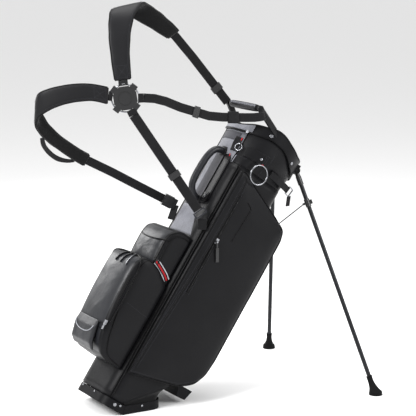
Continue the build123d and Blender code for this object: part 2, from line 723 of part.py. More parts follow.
LEFT_ACROSS = (-0.08, -0.10, 0.99)
STRAP_LEFT = [
    ((-374.5, 132.5, 577), LEFT_ACROSS, 25),
    ((-297, 119, 586), LEFT_ACROSS, 25),
    ((-212, 104.5, 592), LEFT_ACROSS, 25),
    ((-123, 90.5, 599), LEFT_ACROSS, 25),
]
PAD_LOOP = [
    ((-518, 165, 566), (0.30, -0.80, 0.55), 14),
    ((-502, 164, 550), (0.35, -0.79, 0.50), 16),
    ((-474, 160, 540), (0.25, -0.70, 0.66), 17),
    ((-446, 154, 539), (0.0, -0.55, 0.83), 17),
    ((-420, 150, 548), (-0.1, -0.48, 0.87), 14),
    ((-402, 147, 560), (-0.1, -0.45, 0.88), 12),
]
with BuildPart() as strap_lower_left:
    add(ribbon(STRAP_LEFT, WEBBING, straight=True))
    add(ribbon(PAD_LOOP, WEBBING))
    add(strap_pad_left.part, mode=Mode.SUBTRACT)
save(strap_lower_left, "strap_lower_left")

RIGHT_ACROSS = (-0.43, 0.13, 0.89)
STRAP_RIGHT = [
    ((-397, -23, 790), (-0.46, 0.16, 0.87), 25.4),
    ((-372, -32.5, 804), (-0.44, 0.14, 0.88), 25.4),
    ((-341, -40, 814), RIGHT_ACROSS, 25.4),
    ((-297, -49, 822), RIGHT_ACROSS, 25.4),
    ((-213, -66.4, 845.4), RIGHT_ACROSS, 25.4),
    ((-178, -74, 863), RIGHT_ACROSS, 25.4),
    ((-120, -86, 897), RIGHT_ACROSS, 25.4),
    ((-98, -92, 911), RIGHT_ACROSS, 25.4),
]
with BuildPart() as strap_right:
    add(ribbon(STRAP_RIGHT, WEBBING, straight=True))
    add(handle_bail.part, mode=Mode.SUBTRACT)
    add(round_column(CUFF_RADIUS + 0.3, 780, 960), mode=Mode.SUBTRACT)
save(strap_right, "strap_right")

LOWER_ACROSS = (0.37, -0.345, 0.86)
STRAP_LOWER = [
    ((-394, -15.4, 735.1), LOWER_ACROSS, 27.5),
    ((-111, -95, 601), LOWER_ACROSS, 27.5),
]
with BuildPart() as strap_lower:
    add(ribbon(STRAP_LOWER, WEBBING, straight=True))
save(strap_lower, "strap_lower")


def sleeve_slider(start, end, fraction, across, inner, outer, height, gap, length):
    """Strap slider: a flat sleeve round a straight run of webbing."""
    low = at(*start)
    run = at(*end) - low
    direction = run.normalized()
    here = along(*across).normalized()
    here = (here - direction * direction.dot(here)).normalized()
    centre = low + run * fraction - direction * (length / 2)
    with BuildPart() as made:
        with BuildSketch(Plane(origin=centre, x_dir=here, z_dir=direction)):
            RectangleRounded(outer, height, 2)
            Rectangle(inner, gap, mode=Mode.SUBTRACT)
        extrude(amount=length)
    return made


slider_upper = sleeve_slider(STRAP_UPPER[2][0], STRAP_UPPER[3][0], 0.42, UPPER_ACROSS, 27.4, 33, 7.4, 3.4, 20)
save(slider_upper, "slider_upper")
slider_lower = sleeve_slider(STRAP_LOWER[0][0], STRAP_LOWER[1][0], 0.63, LOWER_ACROSS, 28.9, 35, 7.4, 3.4, 18)
save(slider_lower, "slider_lower")
slider_right = sleeve_slider(STRAP_RIGHT[3][0], STRAP_RIGHT[4][0], 0.55, RIGHT_ACROSS, 27.0, 33, 7.4, 3.4, 18)
save(slider_right, "slider_right")
strap_keeper = sleeve_slider(STRAP_RIGHT[5][0], STRAP_RIGHT[6][0], 0.48, RIGHT_ACROSS, 26.2, 34, 8, 2.6, 32)
save(strap_keeper, "strap_keeper")

# ---------------------------------------------------------------- harness hub
TURN = radians(30)
HUB_PLANE = Plane(origin=at(*HUB), x_dir=(cos(TURN), -sin(TURN), 0), z_dir=(-sin(TURN), -cos(TURN), 0))


def hub_torus(wire):
    """Ring of the hub, of a given wire radius."""
    with BuildPart() as made:
        with BuildSketch(Plane(origin=HUB_PLANE.origin, x_dir=HUB_PLANE.x_dir, z_dir=-HUB_PLANE.y_dir)):
            with Locations((HUB_RING_RADIUS, 0)):
                Circle(wire)
        revolve(axis=Axis(HUB_PLANE.origin, HUB_PLANE.z_dir), revolution_arc=360)
    return made.part


with BuildPart() as hub_ring:
    add(hub_torus(HUB_WIRE))
save(hub_ring, "hub_ring")

HUB_TILT = 8.0
with BuildPart() as hub_plate:
    with BuildSketch(HUB_PLANE.offset(-4)):
        RegularPolygon(35.5, 8, rotation=22.5 + HUB_TILT)
    extrude(amount=9)
    with BuildSketch(HUB_PLANE.offset(-5)):
        for quarter in range(4):
            with Locations(Location((0, 0, 0), (0, 0, 45 + HUB_TILT + 90 * quarter))):
                with Locations((37, 0)):
                    Rectangle(18, 19)
    extrude(amount=10)
    add(hub_torus(HUB_WIRE + 0.35), mode=Mode.SUBTRACT)
    with BuildSketch(HUB_PLANE.offset(3.5)):
        Circle(20)
        Circle(17.5, mode=Mode.SUBTRACT)
    extrude(amount=5, mode=Mode.SUBTRACT)
save(hub_plate, "hub_plate")

# ---------------------------------------------------------------- side-release buckle and anchors
left_run = (at(*STRAP_LEFT[3][0]) - at(*STRAP_LEFT[2][0])).normalized()
left_here = along(*LEFT_ACROSS).normalized()
left_face = left_run.cross(left_here).normalized()
left_across = left_face.cross(left_run).normalized()
BUCKLE_START = at(*STRAP_LEFT[3][0]) + left_run * 0.4


def strap_block(origin, offset, length, width, thick, corner):
    """Rounded block along the left strap's run."""
    with BuildPart() as made:
        with BuildSketch(Plane(origin=origin + left_run * offset, x_dir=left_across, z_dir=left_run)):
            RectangleRounded(width, thick, corner)
        extrude(amount=length)
    return made.part


with BuildPart() as buckle_socket:
    add(strap_block(BUCKLE_START, 0, 30, 36, 12, 4))
    add(strap_block(BUCKLE_START, 12, 20, 26, 7, 1.5), mode=Mode.SUBTRACT)
save(buckle_socket, "buckle_socket")

with BuildPart() as buckle_plug:
    for lane in (-9.5, 0, 9.5):
        shift = left_across * lane
        add(strap_block(BUCKLE_START + shift, 15, 16, 5, 6, 1))
    add(strap_block(BUCKLE_START, 31, 12, 32, 9, 3))
save(buckle_plug, "buckle_plug")

tail_top = BUCKLE_START + left_run * 43.3
tail_foot = at(TUBE_FRONT - 1.6, 80, 556)
tail_dir = (tail_foot - tail_top).normalized()
with BuildPart() as strap_anchors:
    with BuildSketch(Plane(origin=tail_top, x_dir=left_across, z_dir=tail_dir)):
        Rectangle(25, 2)
    extrude(amount=(tail_foot - tail_top).length - 2)
    add(tube_envelope.part, mode=Mode.SUBTRACT)
    add(buckle_plug.part, mode=Mode.SUBTRACT)
    add(beam((-86, -96.5, 588), (-70, -97.5, 560), 25, LOWER_ACROSS, 2))
    add(tube_envelope.part, mode=Mode.SUBTRACT)
    add(apparel_pocket_near.part, mode=Mode.SUBTRACT)
    add(corner_welts.part, mode=Mode.SUBTRACT)
save(strap_anchors, "strap_anchors")

lower_run = (at(*STRAP_LOWER[1][0]) - at(*STRAP_LOWER[0][0])).normalized()
lower_here = along(*LOWER_ACROSS).normalized()
lower_face = lower_run.cross(lower_here).normalized()
lower_across = lower_face.cross(lower_run).normalized()
LOOP_CENTRE = at(*STRAP_LOWER[1][0]) + lower_run * 10
with BuildPart() as lower_loop:
    with BuildSketch(Plane(origin=LOOP_CENTRE - lower_face * 2, x_dir=lower_across, z_dir=lower_face)):
        RectangleRounded(38, 18, 4)
        RectangleRounded(31, 10.5, 2, mode=Mode.SUBTRACT)
    extrude(amount=4)
save(lower_loop, "lower_loop")

# ---------------------------------------------------------------- rings and tabs on the collar
RING_CENTRE = at(-8, -121.5, 777)
RING_RADIUS = 28.0
RING_WIRE = 2.0
with BuildPart() as towel_ring:
    with BuildSketch(Plane(origin=RING_CENTRE, x_dir=(0, 0, 1), z_dir=(1, 0, 0))):
        with Locations((RING_RADIUS, 0)):
            Circle(RING_WIRE)
    revolve(axis=Axis(RING_CENTRE, (0, 1, 0)), revolution_arc=360)
save(towel_ring, "towel_ring")

D_NORMAL = along(-0.866, -0.5, 0).normalized()
D_CENTRE = at(CUFF_CENTRE - 121.5 * 0.866, -121.5 * 0.5, 822)
D_RADIUS = 10.5
D_WIRE = 1.5
with BuildPart() as d_ring:
    with BuildSketch(Plane(origin=D_CENTRE, x_dir=S_DIR, z_dir=D_NORMAL.cross(S_DIR))):
        with Locations((D_RADIUS, 0)):
            Circle(D_WIRE)
    revolve(axis=Axis(D_CENTRE, D_NORMAL), revolution_arc=360)
save(d_ring, "d_ring")


def collar_patch(theta_low, theta_high, low, high, thick):
    """Curved patch lying on the collar, between two angles and two heights."""
    with BuildPart() as made:
        with BuildSketch(BAG.offset(low)):
            with Locations((CUFF_CENTRE, 0)):
                with BuildLine():
                    CenterArc((0, 0), 150, theta_low, theta_high - theta_low)
                    Line((0, 0), (150 * cos(radians(theta_low)), 150 * sin(radians(theta_low))))
                    Line((0, 0), (150 * cos(radians(theta_high)), 150 * sin(radians(theta_high))))
                make_face()
        extrude(amount=high - low)
        add(flared(thick), mode=Mode.INTERSECT)
        add(collar_outer, mode=Mode.SUBTRACT)
    return made.part


ring_top = RING_CENTRE + Vector(0, 0, RING_RADIUS)
d_top = D_CENTRE + S_DIR * D_RADIUS
with BuildPart() as ring_tabs:
    add(collar_patch(-128, -97, 806, 838, 3))
    add(slab(ring_top + Vector(0, 4.5, 1), Vector(1, 0, 0), Vector(0, 1, 0), 9, 11, 7.5))
    add(on_axis(ring_top - Vector(0, 0, 0.3), Vector(1, 0, 0), RING_WIRE + 0.9, 20), mode=Mode.SUBTRACT)
    add(collar_patch(-160, -143, 808, 852, 2.5))
    add(slab(d_top - D_NORMAL * 4, S_DIR, D_NORMAL, 8, 6, 6.5))
    tangent = D_NORMAL.cross(S_DIR)
    add(on_axis(d_top - S_DIR * 0.2, tangent, D_WIRE + 0.8, 12), mode=Mode.SUBTRACT)
    add(collar_outer, mode=Mode.SUBTRACT)
    add(top_cuff.part, mode=Mode.SUBTRACT)
save(ring_tabs, "ring_tabs")

# ---------------------------------------------------------------- belt strap and buckle
BELT_PIN = at(116.5, -98.5, 793)
belt_up = along(0.15, 0, 0.98).normalized()
belt_out = (BELT_PIN - at(92, -105, 795)).normalized()
belt_out = (belt_out - belt_up * belt_out.dot(belt_up)).normalized()
belt_face = belt_up.cross(belt_out).normalized()
BELT_BAR = 1.5                   # radius of the buckle's round bar
BELT = [
    ((30, -113.5, 800), (0.1, 0, 0.99), 20),
    ((60, -111.5, 798), (0.1, 0, 0.99), 20),
    ((92, -105, 795), (0.15, 0, 0.98), 20),
    ((115, -98.9, 793), (0.15, 0, 0.98), 20),
]
with BuildPart() as belt_strap:
    add(ribbon(BELT, 3))
    add(on_axis(BELT_PIN, belt_up, BELT_BAR + 1.8, 9.8))
    add(on_axis(BELT_PIN, belt_up, BELT_BAR + RUNNING_CLEARANCE, 14), mode=Mode.SUBTRACT)
    add(collar_outer, mode=Mode.SUBTRACT)
    add(ring_tabs.part, mode=Mode.SUBTRACT)
save(belt_strap, "belt_strap")

frame_centre = BELT_PIN + belt_out * 9
with BuildPart() as belt_buckle:
    with BuildSketch(Plane(origin=frame_centre - belt_face * 1.5, x_dir=belt_out, z_dir=belt_face)):
        RectangleRounded(21, 27, 4)
        RectangleRounded(15.5, 21, 2, mode=Mode.SUBTRACT)
        with Locations((-9, 0)):
            Rectangle(8, 21, mode=Mode.SUBTRACT)
    extrude(amount=3)
    add(on_axis(BELT_PIN, belt_up, BELT_BAR, 12.5))
    hang = Vector(0, 0, -1) + belt_face * belt_face.Z
    hang = hang.normalized()
    add(slab(frame_centre + belt_out * 3 + hang * 27, hang, belt_face, 30, 13, 1.4))
save(belt_buckle, "belt_buckle")

# ---------------------------------------------------------------- zips
ZIP_M = -20.0
ZIP_Y = -112.4
with BuildPart() as zip_tracks:
    add(block((ZIP_M - 4, ZIP_Y - 1.2, 385), (ZIP_M + 4, ZIP_Y + 2, 655)))
    add(apparel_pocket_near.part, mode=Mode.SUBTRACT)
    zip_low = at(-182.0, -78.5, 192)
    zip_high = at(-189.5, -78.5, 345)
    BALL_NORMAL = along(-0.707, -0.707, 0).normalized()
    ball_run = (zip_high - zip_low).normalized()
    ball_side = ball_run.cross(BALL_NORMAL)
    with BuildSketch(Plane(origin=zip_low, x_dir=ball_side, z_dir=ball_run)):
        Rectangle(8, 4)
    extrude(amount=(zip_high - zip_low).length)
    add(ball_pocket.part, mode=Mode.SUBTRACT)
save(zip_tracks, "zip_tracks")

SLIDER_S = 553.0
STUD_RADIUS = 1.3
ZIP_STUD = at(ZIP_M, ZIP_Y - 5.4, SLIDER_S - 2)
PULL_OUT = 2.6                   # middle of the pull, out from the slider's face
OUT_NEAR = Vector(0, -1, 0)
with BuildPart() as zip_slider:
    add(block((ZIP_M - 4.5, ZIP_Y - 5.4, SLIDER_S - 8), (ZIP_M + 4.5, ZIP_Y - 1.6, SLIDER_S + 8)))
    add(on_axis(ZIP_STUD, OUT_NEAR, STUD_RADIUS, 2.3, 2.1))
    add(on_axis(ZIP_STUD, OUT_NEAR, 2.8, 0.5, PULL_OUT + 1.8))
save(zip_slider, "zip_slider")

with BuildPart() as zip_pull:
    add(on_axis(ZIP_STUD, OUT_NEAR, 4.2, 1.0, PULL_OUT))
    add(slab(ZIP_STUD + OUT_NEAR * PULL_OUT - Vector(0, 0, 11), Vector(0, 0, 1), OUT_NEAR, 20, 4.4, 1.0))
    add(slab(ZIP_STUD + OUT_NEAR * PULL_OUT - Vector(0, 0, 38), Vector(0, 0, 1), OUT_NEAR, 40, 9.5, 1.3))
    add(on_axis(ZIP_STUD, OUT_NEAR, STUD_RADIUS + RUNNING_CLEARANCE, 6), mode=Mode.SUBTRACT)
save(zip_pull, "zip_pull")

BALL_SLIDER = zip_low + BALL_NORMAL * 6.4 + ball_run * 8
with BuildPart() as ball_zip_slider:
    add(slab(BALL_SLIDER, ball_run, BALL_NORMAL, 13, 9, 1.8))
    add(slab(BALL_SLIDER + BALL_NORMAL * 2.9 - ball_run * 9, ball_run, BALL_NORMAL, 24, 5, 1.0))
save(ball_zip_slider, "ball_zip_slider")

# ---------------------------------------------------------------- snaps
def stud(centre, normal):
    """Domed snap of 11 mm, standing on a surface."""
    with BuildPart() as made:
        with BuildSketch(Plane(origin=centre, z_dir=normal)):
            Circle(5.2)
        extrude(amount=2.2)
        fillet(made.edges().filter_by(GeomType.CIRCLE).sort_by(Axis(centre, normal))[-1], radius=1.4)
    return made.part


CUFF_SNAPS = [(-150, 874), (-117, 893), (-66, 862), (150, 874), (117, 893), (66, 862)]
BOOT_RIVET_M = -40.0
with BuildPart() as snap_studs:
    for theta, s in CUFF_SNAPS:
        radial = along(cos(radians(theta)), sin(radians(theta)), 0).normalized()
        foot = at(CUFF_CENTRE, 0, s) + radial * (CUFF_RADIUS + 0.05)
        add(stud(foot, radial))
    for side in SIDES.values():
        foot = at(BOOT_RIVET_M, side * (BOOT_HALF_WIDTH + 0.05), 15)
        add(stud(foot, Vector(0, side, 0)))
save(snap_studs, "snap_studs")
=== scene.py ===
"""Golf stand bag on its open legs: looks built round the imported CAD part, in metres."""

import math

import bmesh
import bpy
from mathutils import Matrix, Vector
from mathutils.bvhtree import BVHTree


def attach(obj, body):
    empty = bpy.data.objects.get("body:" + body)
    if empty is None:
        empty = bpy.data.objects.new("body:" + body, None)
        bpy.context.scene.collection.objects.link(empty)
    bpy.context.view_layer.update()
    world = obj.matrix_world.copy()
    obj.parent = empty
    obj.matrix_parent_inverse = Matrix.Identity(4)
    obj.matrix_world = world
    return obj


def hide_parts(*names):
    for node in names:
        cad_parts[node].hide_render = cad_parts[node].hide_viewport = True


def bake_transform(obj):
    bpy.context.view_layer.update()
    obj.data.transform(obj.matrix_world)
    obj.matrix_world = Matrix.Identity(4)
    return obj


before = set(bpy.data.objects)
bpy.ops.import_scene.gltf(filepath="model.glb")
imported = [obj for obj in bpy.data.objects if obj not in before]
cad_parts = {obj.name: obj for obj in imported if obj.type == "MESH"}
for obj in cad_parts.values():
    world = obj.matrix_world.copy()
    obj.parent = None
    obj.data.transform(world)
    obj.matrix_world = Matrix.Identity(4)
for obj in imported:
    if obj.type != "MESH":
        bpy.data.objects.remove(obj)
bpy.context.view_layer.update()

# Bag coordinates: m towards the legs, y across, s up the leaning bag, in millimetres.
LEAN = math.radians(34)
M_DIR = Vector((math.cos(LEAN), 0, -math.sin(LEAN)))
S_DIR = Vector((math.sin(LEAN), 0, math.cos(LEAN)))
Y_DIR = Vector((0, 1, 0))


def at(m, y, s):
    """Row position, in metres, of a bag coordinate in millimetres."""
    return Vector((-0.0645, 0, 0)) + (M_DIR * m + Y_DIR * y + S_DIR * s) / 1000


def way(m, y, s):
    """Row direction of a bag direction."""
    return (M_DIR * m + Y_DIR * y + S_DIR * s).normalized()


# ------------------------------------------------------------------ club tube cover
# Sewn sleeve of synthetic leather drawn over the inner board tube. It is cut along a line
# that rises to the rear at the bottom, where the folding base needs room.
def tone(hex_colour):
    """Linear colour of an sRGB hex value."""
    parts = [int(hex_colour[i:i + 2], 16) / 255 for i in (1, 3, 5)]
    return [c / 12.92 if c <= 0.04045 else ((c + 0.055) / 1.055) ** 2.4 for c in parts] + [1]


def add_node(tree, kind, settings=(), **inputs):
    """One shader or geometry node, with its settings and its input values or links."""
    made = tree.nodes.new(kind)
    for key, value in dict(settings).items():
        setattr(made, key, value)
    for key, value in inputs.items():
        if key[0] == "i" and key[1:].isdigit():
            socket = made.inputs[int(key[1:])]
        else:
            socket = made.inputs[key.replace("_", " ")]
        if isinstance(value, bpy.types.NodeSocket):
            tree.links.new(value, socket)
        else:
            socket.default_value = value
    return made


def surface(name, colour, rough, metallic=0.0, gleam=0.1):
    """A named material with its Principled shader ready for patterns."""
    made = bpy.data.materials.new(name)
    made.use_nodes = True
    shader = made.node_tree.nodes["Principled BSDF"]
    shader.inputs["Base Color"].default_value = tone(colour)
    shader.inputs["Roughness"].default_value = rough
    shader.inputs["Metallic"].default_value = metallic
    shader.inputs["Specular IOR Level"].default_value = 0.5 if metallic else gleam
    return made, made.node_tree, shader


def grain(tree, shader, low, high, rough, scale, depth):
    """Pebbled grain: colour drifts between two tones, roughness follows, bump from cells."""
    place = add_node(tree, "ShaderNodeTexCoord")
    drift = add_node(tree, "ShaderNodeTexNoise", Vector=place.outputs["Object"], Scale=9.0, Detail=4.0)
    fine = add_node(tree, "ShaderNodeTexNoise", Vector=place.outputs["Object"], Scale=scale, Detail=3.0)
    cells = add_node(tree, "ShaderNodeTexVoronoi", Vector=place.outputs["Object"], Scale=scale * 0.8)
    both = add_node(tree, "ShaderNodeMix", {"data_type": "RGBA"}, i0=drift.outputs["Fac"])
    both.inputs[6].default_value = tone(low)
    both.inputs[7].default_value = tone(high)
    tree.links.new(both.outputs[2], shader.inputs["Base Color"])
    spread = add_node(tree, "ShaderNodeMapRange", i0=fine.outputs["Fac"], i1=0.3, i2=0.7,
                      i3=rough - 0.06, i4=rough + 0.07)
    tree.links.new(spread.outputs[0], shader.inputs["Roughness"])
    mixed = add_node(tree, "ShaderNodeMath", {"operation": "ADD"},
                     i0=fine.outputs["Fac"], i1=cells.outputs["Distance"])
    bump = add_node(tree, "ShaderNodeBump", Height=mixed.outputs[0], Strength=0.35, Distance=depth)
    tree.links.new(bump.outputs[0], shader.inputs["Normal"])


def creased(tree, shader, scale, depth):
    """Adds long soft creases under the fine grain."""
    grain_bump = shader.inputs["Normal"].links[0].from_node
    place = add_node(tree, "ShaderNodeTexCoord")
    folds = add_node(tree, "ShaderNodeTexNoise", Vector=place.outputs["Object"],
                     Scale=scale, Detail=1.5, Distortion=0.8)
    bump = add_node(tree, "ShaderNodeBump", Height=folds.outputs["Fac"], Strength=0.6, Distance=depth)
    tree.links.new(bump.outputs[0], grain_bump.inputs["Normal"])


# Soft synthetic leather of the pockets and panels: fine pebble, satin sheen.
leatherette, tree, shader = surface("leatherette_black_satin", "#0c0c0e", 0.42, gleam=0.12)
grain(tree, shader, "#08080a", "#121214", 0.4, 900.0, 0.0003)
creased(tree, shader, 7.0, 0.006)

def piece(name, verts, faces, materials, body="bag", stands_for=(), uv=None, smooth=True, slots=None):
    """A mesh object at the origin, riding on a body."""
    mesh = bpy.data.meshes.new(name)
    mesh.from_pydata([tuple(v) for v in verts], [], faces)
    for m in materials if isinstance(materials, (list, tuple)) else [materials]:
        mesh.materials.append(m)
    if slots:
        mesh.polygons.foreach_set("material_index", slots)
    if uv:
        layer = mesh.uv_layers.new(name="pattern")
        for loop in mesh.loops:
            layer.data[loop.index].uv = uv[loop.vertex_index]
    mesh.polygons.foreach_set("use_smooth", [smooth] * len(mesh.polygons))
    tidy = bmesh.new()
    tidy.from_mesh(mesh)
    bmesh.ops.recalc_face_normals(tidy, faces=tidy.faces)
    tidy.to_mesh(mesh)
    tidy.free()
    made = bpy.data.objects.new(name, mesh)
    bpy.context.scene.collection.objects.link(made)
    if body:
        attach(made, body)
    if stands_for:
        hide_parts(*stands_for)
    return made


def skin(rings, closed=True):
    """Vertices and faces through rings of equal length, capped; open rows make a plain sheet."""
    count = len(rings[0])
    verts = [p for ring in rings for p in ring]
    faces = []
    for r in range(len(rings) - 1):
        for i in range(count if closed else count - 1):
            j = (i + 1) % count
            faces.append((r * count + i, r * count + j, (r + 1) * count + j, (r + 1) * count + i))
    if closed:
        faces.append(tuple(reversed(range(count))))
        faces.append(tuple((len(rings) - 1) * count + i for i in range(count)))
    return verts, faces


def wall(outer, inner):
    """Closed wall between two grids of rings of the same size."""
    count = len(outer[0])
    rows = len(outer)
    verts = [p for ring in outer for p in ring] + [p for ring in inner for p in ring]
    back = rows * count
    faces = []
    for r in range(rows - 1):
        for i in range(count):
            j = (i + 1) % count
            faces.append((r * count + i, r * count + j, (r + 1) * count + j, (r + 1) * count + i))
            low, high = back + r * count, back + (r + 1) * count
            faces.append((low + j, low + i, high + i, high + j))
    for i in range(count):
        j = (i + 1) % count
        faces.append((i, back + i, back + j, j))
        top = (rows - 1) * count
        faces.append((top + j, back + top + j, back + top + i, top + i))
    return verts, faces


TUBE_HALF_DEPTH, TUBE_HALF_WIDTH, TUBE_CORNER = 91.5, 95.0, 40.0
TUBE_MIDDLE, MOUTH_MIDDLE = 20.5, 29.0
MOUTH_AXIS = at(MOUTH_MIDDLE, 0, 0)


def tube_point(angle, grow):
    """Point (m, y) of the club tube's rounded section in a direction from its middle."""
    a, b, r = TUBE_HALF_DEPTH + grow, TUBE_HALF_WIDTH + grow, TUBE_CORNER + grow
    c, s = math.cos(angle), math.sin(angle)
    low, high = 0.0, 200.0
    for _ in range(40):
        t = (low + high) / 2
        x, y = abs(t * c), abs(t * s)
        over = math.hypot(max(x - (a - r), 0), max(y - (b - r), 0)) - r
        low, high = (t, high) if over < 0 else (low, t)
    return TUBE_MIDDLE + low * c, low * s


def mouth_point(angle, radius):
    """Point (m, y) of the round mouth."""
    return MOUTH_MIDDLE + radius * math.cos(angle), radius * math.sin(angle)


def turns(count):
    """Equal angles round a circle."""
    return [2 * math.pi * k / count for k in range(count)]


def base_rise(m):
    """How far the tube's bottom edge has risen at m, towards the rear."""
    return max(0.0, m + 18) * 124 / 130


angles = turns(128)
outer, inner = [], []
for step in range(40):
    part = step / 39
    outside, inside = [], []
    for angle in angles:
        for ring, grow in ((outside, 0.9), (inside, 0.1)):
            m, y = tube_point(angle, grow)
            bottom = 26.5 + base_rise(m)
            ring.append(at(m, y, bottom + (775.5 - bottom) * part))
    outer.append(outside)
    inner.append(inside)
tube_cover = piece("tube_cover", *wall(outer, inner), leatherette)

# ------------------------------------------------------------------ collar and cuff
# Sewn collar between the tube's rounded square and the round mouth, leatherette with a
# silver cloth front. The moulded cuff above it is half wrapped in the same cloth, and its
# seam and rim are piped.


def woven(name, low, high, rough, scale, depth, coords="Object"):
    """Woven cloth: two crossed sets of threads in colour and bump."""
    made, tree, shader = surface(name, low, rough)
    place = add_node(tree, "ShaderNodeTexCoord")
    weave = {"Vector": place.outputs[coords], "Scale": scale, "Distortion": 0.4}
    weft_axis = "Z" if coords == "Object" else "Y"
    warp = add_node(tree, "ShaderNodeTexWave", {"bands_direction": "X"}, **weave)
    weft = add_node(tree, "ShaderNodeTexWave", {"bands_direction": weft_axis}, **weave)
    cross = add_node(tree, "ShaderNodeMath", {"operation": "MULTIPLY"},
                     i0=warp.outputs["Fac"], i1=weft.outputs["Fac"])
    drift = add_node(tree, "ShaderNodeTexNoise", Vector=place.outputs[coords],
                     Scale=scale * 0.08, Detail=5.0)
    part = add_node(tree, "ShaderNodeMath", {"operation": "MULTIPLY_ADD"},
                    i0=cross.outputs[0], i1=0.6, i2=drift.outputs["Fac"])
    part.use_clamp = True
    both = add_node(tree, "ShaderNodeMix", {"data_type": "RGBA"}, i0=part.outputs[0])
    both.inputs[6].default_value = tone(low)
    both.inputs[7].default_value = tone(high)
    tree.links.new(both.outputs[2], shader.inputs["Base Color"])
    bump = add_node(tree, "ShaderNodeBump", Height=cross.outputs[0], Strength=0.5, Distance=depth)
    tree.links.new(bump.outputs[0], shader.inputs["Normal"])
    shader.inputs["Sheen Weight"].default_value = 0.15
    return made

# Silver-grey cloth at the front of the collar.
silver_cloth = woven("collar_cloth_silver", "#47484d", "#7b7c83", 0.5, 420.0, 0.0003)

def collar_point(angle, s, grow):
    part = min(max((s - 775.2) / 59.8, 0), 1)
    part = part * part * (3 - 2 * part)
    m0, y0 = tube_point(angle, grow)
    m1, y1 = mouth_point(angle, 113.5 + grow)
    return m0 + (m1 - m0) * part, y0 + (y1 - y0) * part


levels = [775.3 + 108.5 * i / 22 for i in range(23)]
outer = [[at(*collar_point(a, s, 0.0), s) for a in angles] for s in levels]
inner = [[at(*collar_point(a, s, -3.2), s) for a in angles] for s in levels]
verts, faces = wall(outer, inner)
slots = []
for f in faces:
    middle = sum((verts[i] for i in f), Vector()) / len(f)
    local = middle - MOUTH_AXIS
    turn = math.degrees(math.atan2(local.dot(Y_DIR), local.dot(M_DIR)))
    slots.append(1 if abs(turn) > 149 else 0)
collar_cover = piece("collar_cover", verts, faces, [leatherette, silver_cloth],
                     stands_for=["top_collar"], slots=slots)

# Side-view lines (m, s) of the cuff's rim and of the seam below it.
RIM = [
    (-100, 888), (-88, 889), (-70, 902), (-42, 912), (-22, 918), (2, 918), (40, 906), (88, 891), (150, 886),
]
SEAM = [
    (-100, 866), (-58, 874), (-22, 882), (0, 881), (27, 876), (50, 866), (75, 850), (110, 833), (160, 830),
]


def level(line, m):
    """Height of a side-view line at m."""
    for (m0, s0), (m1, s1) in zip(line, line[1:]):
        if m <= m1:
            return s0 + (s1 - s0) * (m - m0) / (m1 - m0)
    return line[-1][1]


# Silver cloth wrapped over the front half of the cuff.
rows_out, rows_in = [], []
wrap = [math.radians(143 + 74 * i / 60) for i in range(61)]
for part in (0, 0.06, 0.3, 0.6, 0.94, 1):
    edge = 0.5 if part in (0, 1) else 1.3
    row = []
    for a in wrap:
        m, y = mouth_point(a, 118.75 + edge)
        low, high = level(SEAM, m) + 4.5, level(RIM, m) - 2.5
        row.append(at(m, y, low + (high - low) * part))
    rows_out.append(row)
    axis = [MOUTH_AXIS + S_DIR * (p - MOUTH_AXIS).dot(S_DIR) for p in row]
    rows_in.append([p + (middle - p).normalized() * 0.0012 for p, middle in zip(row, axis)])
count = len(wrap)
verts = [p for row in rows_out + rows_in for p in row]
faces = []
back = len(rows_out) * count
for r in range(len(rows_out) - 1):
    for i in range(count - 1):
        low, high = r * count + i, (r + 1) * count + i
        faces.append((low, low + 1, high + 1, high))
        faces.append((back + low + 1, back + low, back + high, back + high + 1))
cuff_wrap = piece("cuff_wrap", verts, faces, silver_cloth)


def tube_along(points, radius, sides=10, flat=1.0, up=None):
    """Rings of a round cord along points."""
    rings = []
    normal = None
    for i, p in enumerate(points):
        ahead = (points[min(i + 1, len(points) - 1)] - points[max(i - 1, 0)]).normalized()
        if normal is None:
            normal = ahead.orthogonal() if up is None else up
        normal = (normal - ahead * normal.dot(ahead)).normalized()
        side = ahead.cross(normal)
        r = radius(i / (len(points) - 1)) if callable(radius) else radius
        rings.append([p + side * (r * math.cos(t)) + normal * (r * flat * math.sin(t)) for t in turns(sides)])
    return skin(rings)

def curve_point(p0, p1, p2, p3, t):
    """Catmull-Rom point between p1 and p2."""
    straight = (2 * p1) + (p2 - p0) * t
    bend = (2 * p0 - 5 * p1 + 4 * p2 - p3) * t * t
    return 0.5 * (straight + bend + (3 * p1 - p0 - 3 * p2 + p3) * t ** 3)


def spaced(points, step):
    """Points every step along a polyline, rounded by Catmull-Rom."""
    out = []
    for i in range(len(points) - 1):
        p0 = points[max(i - 1, 0)]
        p1, p2 = points[i], points[i + 1]
        p3 = points[min(i + 2, len(points) - 1)]
        count = max(1, int((p2 - p1).length / step))
        for k in range(count):
            t = k / count
            out.append(curve_point(p0, p1, p2, p3, t))
    out.append(points[-1])
    return out


# Rolled edging of the same leather, a little darker.
piping_leather, tree, shader = surface("piping_leather", "#111214", 0.38)
grain(tree, shader, "#030304", "#09090a", 0.36, 1200.0, 0.0002)
def joined(parts):
    """Vertices and faces of several meshes as one."""
    verts, faces = [], []
    for v, f in parts:
        faces += [tuple(i + len(verts) for i in face) for face in f]
        verts += v
    return verts, faces


# The seam piping stops either side of the two leg slots.
for name, line, offset, lift, radius, arcs in (
    ("cuff_seam_piping", SEAM, 1.0, 0.6, 0.0016, ((50, 310), (-12, 12))),
    ("cuff_rim_roll", RIM, -2.0, -0.4, 0.0021, ((0, 360),)),
):
    parts = []
    for start, end in arcs:
        path = []
        for i in range(181):
            m, y = mouth_point(math.radians(start + (end - start) * i / 180), 118.7 + lift)
            path.append(at(m, y, level(line, m) + offset))
        parts.append(tube_along(path, radius, 8))
    cuff_line = piece(name, *joined(parts), piping_leather)


